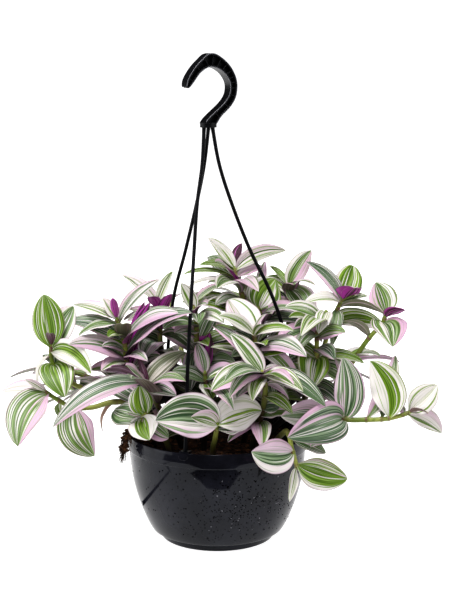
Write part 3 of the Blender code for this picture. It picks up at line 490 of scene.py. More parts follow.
def makePot():
    rim, base, foot = potSizes["rim"], potSizes["base"], potSizes["foot"]
    collarLow = potSizes["top"] - potSizes["collar"]
    bowl = bowlLine(potSizes["rows"])
    low = bowl[0][1]
    outer = [(0.0, base), (foot, base), (foot + potSizes["footSlope"], low), (bowl[0][0], low), bowl[1]]
    outer = rounded(outer, potSizes["round"])[:-1] + bowl[1:-1]
    collar = [(rim - inside, collarLow + above) for inside, above in potSizes["collarForm"]]
    outer += rounded(bowl[-2:] + collar, potSizes["collarRound"])[1:-1]
    inner = [(radius - potSizes["wall"], height) for radius, height in reversed(bowl[2:])]
    shapes = [lathe(inMetres(outer + inner + potSizes["floorForm"]), potSizes["sides"])]
    for bearing in potSizes["bearings"].values():
        centre = outward(bearing) * (potSizes["ring"] + potSizes["lugShift"])
        centre.z = potSizes["lugHeight"]
        spin = Matrix.Rotation(math.radians(bearing), 3, "Z")
        shapes.append(boxShape(potSizes["lugSize"],
                               lambda x, y, z: centre * mm + spin @ Vector((x, y, z))))
    turnedOut(newPiece("potShell", shapes, potSkin, ["pot"], 32.0))


def makeSaucer():
    edge, foot, top = potSizes["saucer"], potSizes["saucerFoot"], potSizes["saucerTop"]
    floor = potSizes["saucerFloor"]
    corners = [(0.0, 0.0), (foot, 0.0), (edge, top), (edge - potSizes["saucerWall"], top),
               (foot - potSizes["saucerSlope"], floor), (0.0, floor)]
    profile = inMetres(rounded(corners, potSizes["round"]))
    turnedOut(newPiece("saucerRing", [lathe(profile, potSizes["sides"])], potSkin, ["saucer"], 40.0))


makePot()
makeSaucer()
print("pot and saucer made")


# Tubes and curves
def catmull(points, place):
    # A smooth curve through the points, where whole numbers are the points themselves
    last = len(points) - 1
    index = min(int(place), last - 1)
    t = place - index
    before = points[max(index - 1, 0)]
    start = points[index]
    end = points[index + 1]
    after = points[min(index + 2, last)]
    return 0.5 * ((2.0 * start) + (end - before) * t
                  + (2.0 * before - 5.0 * start + 4.0 * end - after) * t * t
                  + (3.0 * start - before - 3.0 * end + after) * t * t * t)


def tubeShape(points, radii, sides):
    # A radius of 0 at the last point closes the tube in a tip
    points = [Vector(point) for point in points]
    rings = []
    verts = []
    tangent = (points[1] - points[0]).normalized()
    side = tangent.orthogonal().normalized()
    if abs(tangent.z) > 0.9:
        side = (Vector((1.0, 0.0, 0.0)) - tangent * tangent.x).normalized()
    for index, (point, radius) in enumerate(zip(points, radii)):
        ahead = points[min(index + 1, len(points) - 1)]
        behind = points[max(index - 1, 0)]
        turned = (ahead - behind).normalized()
        side = (side - turned * side.dot(turned)).normalized()
        other = turned.cross(side)
        count = sides if radius else 1
        rings.append(list(range(len(verts), len(verts) + count)))
        for step in range(count):
            angle = 2.0 * math.pi * (step + 0.5) / sides
            verts.append(point + radius * (math.cos(angle) * side + math.sin(angle) * other))
    faces = []
    for corners in bands(rings, sides):
        faces.append(corners[:3])
        if len(corners) > 3:
            faces.append([corners[0], *corners[2:]])
    faces.append(rings[0][::-1])
    if len(rings[-1]) > 1:
        faces.append(rings[-1])
    return verts, faces


# Strands and hook
strandSizes = {
    "radius": 1.7, "hubX": -8.0, "hubBottom": 381.0, "socketRing": 4.5, "socketDepth": 3.0, "lug": 11.0,
    # each strand swells by this much over the first and last parts of its length
    "swell": 0.25, "swellSpan": 0.05, "swellFrom": 0.95,
    # a strand bends only below its hub socket and above the rim, and stops short in its two sockets
    "hubDrop": 1.0, "rimRise": 5.0, "hubShort": 0.3, "lugShort": 4.3,
    "hubBearings": {"front": -60.0, "right": 60.0, "back": 180.0},
    "front": [(-13.5, -9, 348), (-18, -19, 313), (-20.5, -31, 274), (-23, -47, 231), (-26, -63, 171)],
    "right": [(2, -1, 347), (13.5, 1, 311), (30, 4, 269), (52, 8, 222), (69.5, 11, 164)],
    "back": [(-12, 10, 346), (-19.5, 19, 309), (-30, 30, 265), (-42.5, 44, 215), (-49, 55, 154)],
}


def strandPoints(name, finer=2):
    top = Vector((strandSizes["hubX"], 0.0, 0.0))
    top += outward(strandSizes["hubBearings"][name]) * strandSizes["socketRing"]
    foot = outward(potSizes["bearings"][name]) * potSizes["ring"]
    bottom = strandSizes["hubBottom"]
    control = [Vector((top.x, top.y, bottom - strandSizes["hubDrop"]))]
    control += [Vector(point) for point in strandSizes[name]]
    control += [Vector((foot.x, foot.y, potSizes["top"] + strandSizes["rimRise"]))]
    steps = finer * (len(control) - 1)
    curve = [catmull(control, index * (len(control) - 1) / steps) for index in range(steps + 1)]
    topZ = bottom + strandSizes["socketDepth"] - strandSizes["hubShort"]
    footZ = potSizes["top"] - strandSizes["lug"] + strandSizes["lugShort"]
    return [Vector((top.x, top.y, topZ))] + curve + [Vector((foot.x, foot.y, footZ))]


def makeStrand(name):
    points = strandPoints(name, 10)
    span = strandSizes["swellSpan"]
    radii = []
    for index in range(len(points)):
        share = index / (len(points) - 1)
        top = strandSizes["swell"] * max(0.0, 1.0 - share / span)
        foot = strandSizes["swell"] * max(0.0, (share - strandSizes["swellFrom"]) / span)
        radii.append(strandSizes["radius"] + (top + foot))
    newPiece("strand" + name.capitalize(), [tubeShape(points, radii, 14)], hangerSkin,
             ["strand_" + name], 60.0, scale=mm)


hookSizes = {
    # rim is how thick the painted highlight lines along the flanges' edges are
    "turn": 24.0, "breadth": 13.0, "flange": 1.7, "flangeShare": 0.27, "web": 1.9, "rings": 76, "rim": 0.34,
    "edge": 0.00035, "plate": (7.5, 4.4), "tipShares": (0.72, 0.28), "tipSpan": 0.5,
    # a rib: its thickness, and how far it stays inside the flanges' sides and their outer faces
    "ribSize": (0.8, 0.9, 0.7),
    "ribs": [1.1, 2.2, 3.3, 4.15, 4.9, 5.6, 6.25, 6.8, 7.35, 8.0, 8.8, 10.0, 11.1],
    # the middle line in the hook's own plane and its depth there, from the tip to the hub
    "curve": [(-22.1, 416.5, 2.6), (-19.3, 422.6, 6.2), (-13.0, 431.5, 7.2), (-5.9, 437.5, 9.0),
              (1.0, 440.6, 12.3), (9.1, 437.7, 10.3), (16.5, 431.6, 8.6), (21.3, 423.5, 7.4),
              (22.4, 415.9, 6.9), (20.7, 408.0, 7.0), (15.5, 400.6, 7.1), (7.2, 393.0, 7.4),
              (-0.6, 384.4, 11.0)],
}


def hookAt(place):
    # The middle, the depth and the way out from the middle line, at one place along the hook's curve
    curve = [Vector(point) for point in hookSizes["curve"]]
    last = len(curve) - 1
    u, z, depth = catmull(curve, place)
    ahead = catmull(curve, min(place + 0.02, last))
    behind = catmull(curve, max(place - 0.02, 0.0))
    du, dz = ahead[0] - behind[0], ahead[1] - behind[1]
    size = math.hypot(du, dz)
    level = max(0.0, place - last + 1.0) ** 2
    normal = Vector((-dz / size, du / size)).lerp(Vector((1.0, 0.0)), level).normalized()
    return u, z, depth, normal


def hookWide(place):
    # Half the hook's breadth, which narrows towards its tip
    least, more = hookSizes["tipShares"]
    return hookSizes["breadth"] / 2 * (least + more * math.sqrt(min(1.0, place / hookSizes["tipSpan"])))


def hookPoint(spot, across, height, run=0.0):
    # A place by how far it lies across the hook, out from its middle line and along it
    u, z, _, normal = spot
    u = u + normal[0] * height + normal[1] * run
    turn = math.radians(hookSizes["turn"])
    return Vector((strandSizes["hubX"] + u * math.cos(turn) - across * math.sin(turn),
                   u * math.sin(turn) + across * math.cos(turn),
                   z + normal[1] * height - normal[0] * run)) * mm


def hookSection(depth, wide):
    half = depth / 2
    web = hookSizes["web"] / 2
    inner = half - min(hookSizes["flange"], hookSizes["flangeShare"] * depth)
    return [(wide, half), (-wide, half), (-wide, inner), (-web, inner), (-web, -inner),
            (-wide, -inner), (-wide, -half), (wide, -half), (wide, -inner), (web, -inner),
            (web, inner), (wide, inner)]


def makeHook():
    verts = []
    rings = []
    last = len(hookSizes["curve"]) - 1
    for ring in range(hookSizes["rings"] + 1):
        place = last * ring / hookSizes["rings"]
        spot = hookAt(place)
        section = hookSection(spot[2], hookWide(place))
        rings.append(list(range(len(verts), len(verts) + len(section))))
        verts += [hookPoint(spot, across, height) for across, height in section]
    shapes = [(verts, bands(rings, len(rings[0])) + [rings[0], rings[-1]])]
    thick, inside, under = hookSizes["ribSize"]
    wide = hookSizes["breadth"] / 2 - inside
    for place in hookSizes["ribs"]:
        spot = hookAt(place)
        half = spot[2] / 2 - under
        shapes.append(boxShape((thick, 2 * wide, 2 * half),
                               lambda run, across, height: hookPoint(spot, across, height, run)))
    radius, thick = hookSizes["plate"]
    low = Vector((strandSizes["hubX"], 0.0, strandSizes["hubBottom"])) * mm
    shapes.append(tubeShape([low, low + upward(thick * mm)], [radius * mm] * 2, 40))
    hook = newPiece("hookBeam", shapes, hangerSkin, ["hook"], 30.0)
    turnedOut(hook)
    bevel = hook.modifiers.new("edges", "BEVEL")
    bevel.width = hookSizes["edge"]
    bevel.segments = 2
    bevel.limit_method = "ANGLE"
    bevel.angle_limit = math.radians(40.0)


def makeHighlightLines():
    # Lighter lines along the flanges' edges, where they catch the light: painted highlights
    last = len(hookSizes["curve"]) - 1
    thick = hookSizes["rim"]
    shapes = []
    for side in (-1, 1):
        for level in (-1, 1):
            points = []
            for ring in range(1, hookSizes["rings"]):
                place = last * ring / hookSizes["rings"]
                spot = hookAt(place)
                points.append(hookPoint(spot, side * (hookWide(place) - thick * 0.4),
                                        level * (spot[2] / 2 - thick * 0.8)))
            shapes.append(tubeShape(points, [thick * mm] * len(points), 8))
    newPiece("hookHighlightLines", shapes, highlightLineSkin, [], 60.0)


for strandName in potSizes["bearings"]:
    makeStrand(strandName)
makeHook()
makeHighlightLines()
print("strands and hook made")


# Clip loops on the rim and drops of water on the bowl
trim = {
    "loopWide": 4.6, "loopDrop": 3.6, "loopThick": 0.42, "loopTop": 97.6, "loopInside": 0.6, "loopLean": 0.06,
    "loopSteps": 12, "drops": 640, "seed": 12, "sizes": (0.42, 0.34), "flat": 0.4, "lightShare": 0.06,
    # most drops gather round one bearing and height, each with its spread, and the others stray
    "gathered": 0.8, "bearing": (16.0, 27.0), "height": (52.0, 21.0), "stray": (14.0, 84.0),
    "lowest": 12.0, "highest": 85.0,
    # a drop's rings as shares of its reach and height
    "dome": [(1.0, -0.1), (0.8, 0.6), (0.42, 0.92)],
}


def makeLoops():
    shapes = []
    for bearing in potSizes["bearings"].values():
        points = []
        for step in range(trim["loopSteps"] + 1):
            angle = math.pi * step / trim["loopSteps"]
            drop = trim["loopDrop"] * math.sin(angle)
            swing = trim["loopWide"] * math.cos(angle) / potSizes["rim"]
            reach = potSizes["rim"] - trim["loopInside"] + trim["loopLean"] * drop
            spot = outward(bearing + math.degrees(swing)) * reach
            points.append((spot + upward(trim["loopTop"] - drop)) * mm)
        shapes.append(tubeShape(points, [trim["loopThick"] * mm] * len(points), 8))
    newPiece("clipLoops", shapes, potSkin, [], 60.0)


def dropShape(centre, out, size):
    # A low dome on the wall
    aside = upward(1.0).cross(out).normalized()
    rise = out.cross(aside)
    verts = []
    for ring, (reach, height) in enumerate(trim["dome"]):
        for step in range(8):
            angle = math.pi * (step + 0.5 * ring) / 4
            flat = aside * math.cos(angle) + rise * math.sin(angle)
            verts.append(centre + size * (reach * flat + trim["flat"] * height * out))
    verts.append(centre + size * trim["flat"] * out)
    return verts, bands([list(range(start, start + 8)) for start in (0, 8, 16)] + [[24]], 8)


def makeDrops():
    draw = random.Random(trim["seed"])
    dark = []
    light = []
    while len(dark) + len(light) < trim["drops"]:
        near = draw.random() < trim["gathered"]
        bearing = draw.gauss(*trim["bearing"]) if near else draw.uniform(-180.0, 180.0)
        height = draw.gauss(*trim["height"]) if near else draw.uniform(*trim["stray"])
        if not trim["lowest"] < height < trim["highest"]:
            continue
        slope = bowlRadius(height + 0.5) - bowlRadius(height - 0.5)
        out = (outward(bearing) - upward(slope)).normalized()
        centre = outward(bearing) * bowlRadius(height) + upward(height)
        size = trim["sizes"][0] + trim["sizes"][1] * draw.random() ** 2
        # a few drops are painted light grey as glints, the rest painted black as the dark that water reflects
        group = light if draw.random() < trim["lightShare"] else dark
        group.append(dropShape(centre * mm, out, size * mm))
    newPiece("darkDrops", dark, dropSkin, [], 80.0)
    newPiece("lightDrops", light, glintSkin, [], 80.0)


makeLoops()
makeDrops()
print("loops and drops made")


# Soil with crumbs, fibres and a tuft of roots over the rim
soilSizes = {
    "top": 90.0, "relief": 2.2, "roughness": 0.9, "edge": 77.6, "sides": 120, "rings": 46, "seed": 41,
    # the soil body below its surface, and how it sinks towards its edge
    "below": [(74.0, 60.0), (66.0, 30.0), (50.0, 8.0), (0.0, 6.0)], "sink": 1.2, "sinkFrom": 0.93,
    "sinkSpan": 0.07, "reliefSpan": 17.0, "roughSpan": 4.2,
    "crumbs": 620, "crumbReach": 76.5, "crumbSizes": (0.5, 1.9), "crumbFine": 1.3,
    # every crumb and lump is squashed along each axis and roughened
    "squash": [(0.7, 1.3), (0.7, 1.3), (0.5, 0.9)], "lumpRough": 0.45, "lumpGrain": 1.6,
    "fibres": 70, "fibreReach": 73.0, "fibreEdge": 76.0, "fibreRadii": [0.32, 0.34, 0.3, 0.28, 0.22, 0.0],
    # the tuft's middle line as (reach, height), and how near the pot its lumps and roots may come
    "tuftBearing": -64.2, "overRim": 2.6, "lumps": 340, "lumpReach": 5.6, "lumpsFrom": 87.6,
    "lumpSizes": (0.7, 2.5), "roots": 190, "rootsFrom": 86.8, "rootSpan": (2.4, 4.6), "rootSteps": 7,
    "rootLengths": (0.8, 2.7), "rootRadii": (0.14, 0.34), "rootTaper": 0.12,
    "tuft": [(67.5, 88.0), (75.0, 101.0), (82.0, 108.5), (90.5, 106.0), (94.5, 94.0), (95.0, 82.0)],
}


def soilHeight(x, y):
    wide, fine = soilSizes["reliefSpan"], soilSizes["roughSpan"]
    swell = noise.noise(Vector((x / wide, y / wide, 3.1)))
    rough = noise.fractal(Vector((x / fine, y / fine, 7.7)), 0.8, 2.0, 4)
    return soilSizes["top"] + soilSizes["relief"] * swell + soilSizes["roughness"] * rough


def lump(centre, size, draw, cuts):
    # A small rough crumb
    ball = bmesh.new()
    bmesh.ops.create_icosphere(ball, subdivisions=cuts, radius=size)
    shift = Vector((draw.uniform(0, 90), draw.uniform(0, 90), draw.uniform(0, 90)))
    squash = [draw.uniform(*span) for span in soilSizes["squash"]]
    verts = []
    for vert in ball.verts:
        spot = vert.co * (soilSizes["lumpGrain"] / size) + shift
        swell = 1.0 + soilSizes["lumpRough"] * noise.noise(spot)
        verts.append(Vector(centre) + Vector([vert.co[axis] * squash[axis] * swell for axis in range(3)]))
    faces = [[vert.index for vert in face.verts] for face in ball.faces]
    ball.free()
    return verts, faces


def discSpot(draw, reach):
    # A seeded place, evenly spread over a disc
    radius = reach * math.sqrt(draw.random())
    angle = draw.uniform(0.0, 2.0 * math.pi)
    return radius * math.cos(angle), radius * math.sin(angle)


def heading(angle, rise=0.0):
    return Vector((math.cos(angle), math.sin(angle), rise))


def bedShape():
    edge, top, rings = soilSizes["edge"], soilSizes["top"], soilSizes["rings"]
    profile = [(edge * (ring / rings), top) for ring in range(rings + 1)] + soilSizes["below"]
    verts, faces = lathe(profile, soilSizes["sides"])
    shaped = []
    for x, y, z in verts:
        if z == top:
            past = max(0.0, math.hypot(x, y) / edge - soilSizes["sinkFrom"])
            z = soilHeight(x, y) - soilSizes["sink"] * past / soilSizes["sinkSpan"]
        shaped.append((x, y, z))
    return shaped, faces


def fibreShape(draw):
    start = Vector((*discSpot(draw, soilSizes["fibreReach"]), 0.0))
    turn = draw.uniform(0.0, 2.0 * math.pi)
    points = []
    for step in range(len(soilSizes["fibreRadii"])):
        spot = start + heading(turn) * step * draw.uniform(1.2, 2.6)
        turn += draw.uniform(-0.5, 0.5)
        if spot.length > soilSizes["fibreEdge"]:
            spot *= soilSizes["fibreEdge"] / spot.length
        spot.z = soilHeight(spot.x, spot.y) + 0.5 + draw.uniform(0.0, 1.2)
        points.append(spot)
    return tubeShape(points, soilSizes["fibreRadii"], 5)


def makeSoil():
    draw = random.Random(soilSizes["seed"])
    shapes = [bedShape()]
    for _ in range(soilSizes["crumbs"]):
        x, y = discSpot(draw, soilSizes["crumbReach"])
        size = soilSizes["crumbSizes"][0] + soilSizes["crumbSizes"][1] * draw.random() ** 2.4
        cuts = 2 if size > soilSizes["crumbFine"] else 1
        shapes.append(lump((x, y, soilHeight(x, y) + size * 0.3), size, draw, cuts))
    shapes += [fibreShape(draw) for _ in range(soilSizes["fibres"])]
    shapes += tuftShapes(draw)
    turnedOut(newPiece("soilSurface", shapes, peatSkin, ["soil"], 50.0, mm))


def tuftPlace(reach, height):
    return outward(soilSizes["tuftBearing"]) * reach + upward(height)


def tuftShapes(draw):
    # Peat clings round the roots that hang over the rim
    spine = [tuftPlace(*place) for place in soilSizes["tuft"]]
    out = outward(soilSizes["tuftBearing"])
    aside = Vector((-out.y, out.x, 0.0))
    last = len(spine) - 1
    steps = soilSizes["rootSteps"]
    shapes = []
    for _ in range(soilSizes["lumps"]):
        place = draw.uniform(0.3, last - 0.7)
        size = draw.uniform(*soilSizes["lumpSizes"]) * (1.1 - 0.4 * place / last)
        reach = soilSizes["lumpReach"] * (1.05 - 0.35 * place / last)
        offset = (out * draw.gauss(0, 1) + aside * draw.gauss(0, 1.8)).normalized() * reach
        spot = catmull(spine, place) + offset * draw.uniform(0.2, 1.0) + upward(draw.uniform(-2, 2))
        if place > soilSizes["overRim"] and spot.dot(out) < soilSizes["lumpsFrom"]:
            spot += out * (soilSizes["lumpsFrom"] - spot.dot(out))
        shapes.append(lump(spot, size, draw, 2))
    for _ in range(soilSizes["roots"]):
        place = draw.uniform(*soilSizes["rootSpan"])
        point = catmull(spine, place) + out * draw.uniform(-2, 2) + aside * draw.uniform(-5.5, 5.5)
        points = []
        course = out * draw.uniform(-0.3, 0.7) + aside * draw.uniform(-0.9, 0.9) + upward(-0.4)
        length = draw.uniform(*soilSizes["rootLengths"])
        for _ in range(steps):
            if point.dot(out) < soilSizes["rootsFrom"]:
                point += out * (soilSizes["rootsFrom"] - point.dot(out) + draw.uniform(0.0, 1.0))
            points.append(point)
            stray = out * draw.uniform(-0.35, 0.35) + aside * draw.uniform(-0.45, 0.45)
            course = (course + stray + upward(-0.5)).normalized()
            point = point + course * length
        thick = draw.uniform(*soilSizes["rootRadii"])
        radii = [thick * (1 - soilSizes["rootTaper"] * step) for step in range(steps - 1)] + [0.0]
        shapes.append(tubeShape(points, radii, 4))
    return shapes


makeSoil()
print("soil made")


# The plant
# which way the upper face of a leaf looks
up = (0.0, -0.25, 1.0)
slant = (0.0, -0.6, 0.8)
front = (0.0, -1.0, 0.25)
away = (0.0, 0.8, 0.6)
left = (-0.8, -0.5, 0.4)
right = (0.8, -0.5, 0.4)

# each look: how green, how pink, how dark, pale margins, pink side, purple underneath, aged
looks = {
    "fresh": (0.84, 0.25, 0.05, 0.30, 0.8, 0.30, 0.0),
    "silver": (0.58, 0.25, 0.50, 0.75, 0.6, 0.25, 0.0),
    "lime": (0.56, 0.12, 0.00, 0.70, 0.6, 0.20, 0.0),
    "cream": (0.30, 0.14, 0.15, 0.55, 0.6, 0.15, 0.0),
    "pale": (0.16, 0.45, 0.30, 0.40, 0.6, 0.20, 0.0),
    "blush": (0.36, 0.75, 0.85, 1.00, 0.7, 0.45, 0.0),
    "lilac": (0.38, 1.00, 0.75, 0.95, 0.5, 0.70, 0.0),
    "pinkSide": (0.58, 0.80, 0.40, 0.55, 1.0, 0.60, 0.0),
    "rose": (0.16, 1.00, 0.50, 0.30, 0.4, 0.90, 0.0),
    "slate": (0.80, 0.70, 1.00, 0.35, 0.9, 0.80, 0.0),
    "dark": (0.94, 0.30, 0.70, 0.20, 0.6, 0.70, 0.0),
    "plum": (0.85, 0.50, 0.90, 0.20, 0.5, 1.00, 0.0),
    "purple": (0.40, 1.00, 0.80, 0.30, 0.4, 1.00, 0.0),
    "magenta": (0.22, 1.00, 0.60, 0.30, 0.4, 1.00, 0.0),
    "beige": (0.55, 0.40, 0.60, 0.40, 0.4, 0.60, 0.5),
    "dry": (0.70, 0.30, 0.60, 0.10, 0.2, 0.80, 0.9),
    "olive": (0.80, 0.10, 0.25, 0.20, 0.3, 0.05, 0.1),
    "leafy": (1.00, 0.10, 0.12, 0.10, 0.5, 0.30, 0.0),
    "ivory": (0.12, 0.12, 0.0, 0.15, 0.5, 0.10, 0.0),
    "lowPink": (0.84, 0.95, 1.00, 0.20, -0.9, 0.90, 0.0),
    "grey": (0.62, 0.75, 1.00, 0.60, -0.9, 0.60, 0.0),
    "turnedFresh": (0.74, 0.60, 0.05, 0.30, 0.9, 0.30, 0.0),
    "turned": (0.62, 0.75, 0.35, 0.50, -1.0, 0.60, 0.0),
    "core": (0.52, 0.90, 0.90, 1.00, 0.0, 0.70, 0.0),
    "wide": (0.70, 0.55, 0.90, 0.55, 0.4, 0.50, 0.0),
    "banded": (0.92, 1.00, 1.00, 0.30, 0.8, 0.90, 0.0),
    "mauve": (0.46, 0.95, 0.90, 0.80, 0.6, 0.80, 0.0),
    # the darkest look, a little dried: partly a dry leaf, partly painted shade in the plant's hollow
    "dryAndPaintedShade": (0.95, 0.30, 1.00, 0.10, 0.5, 1.00, 0.25),
}

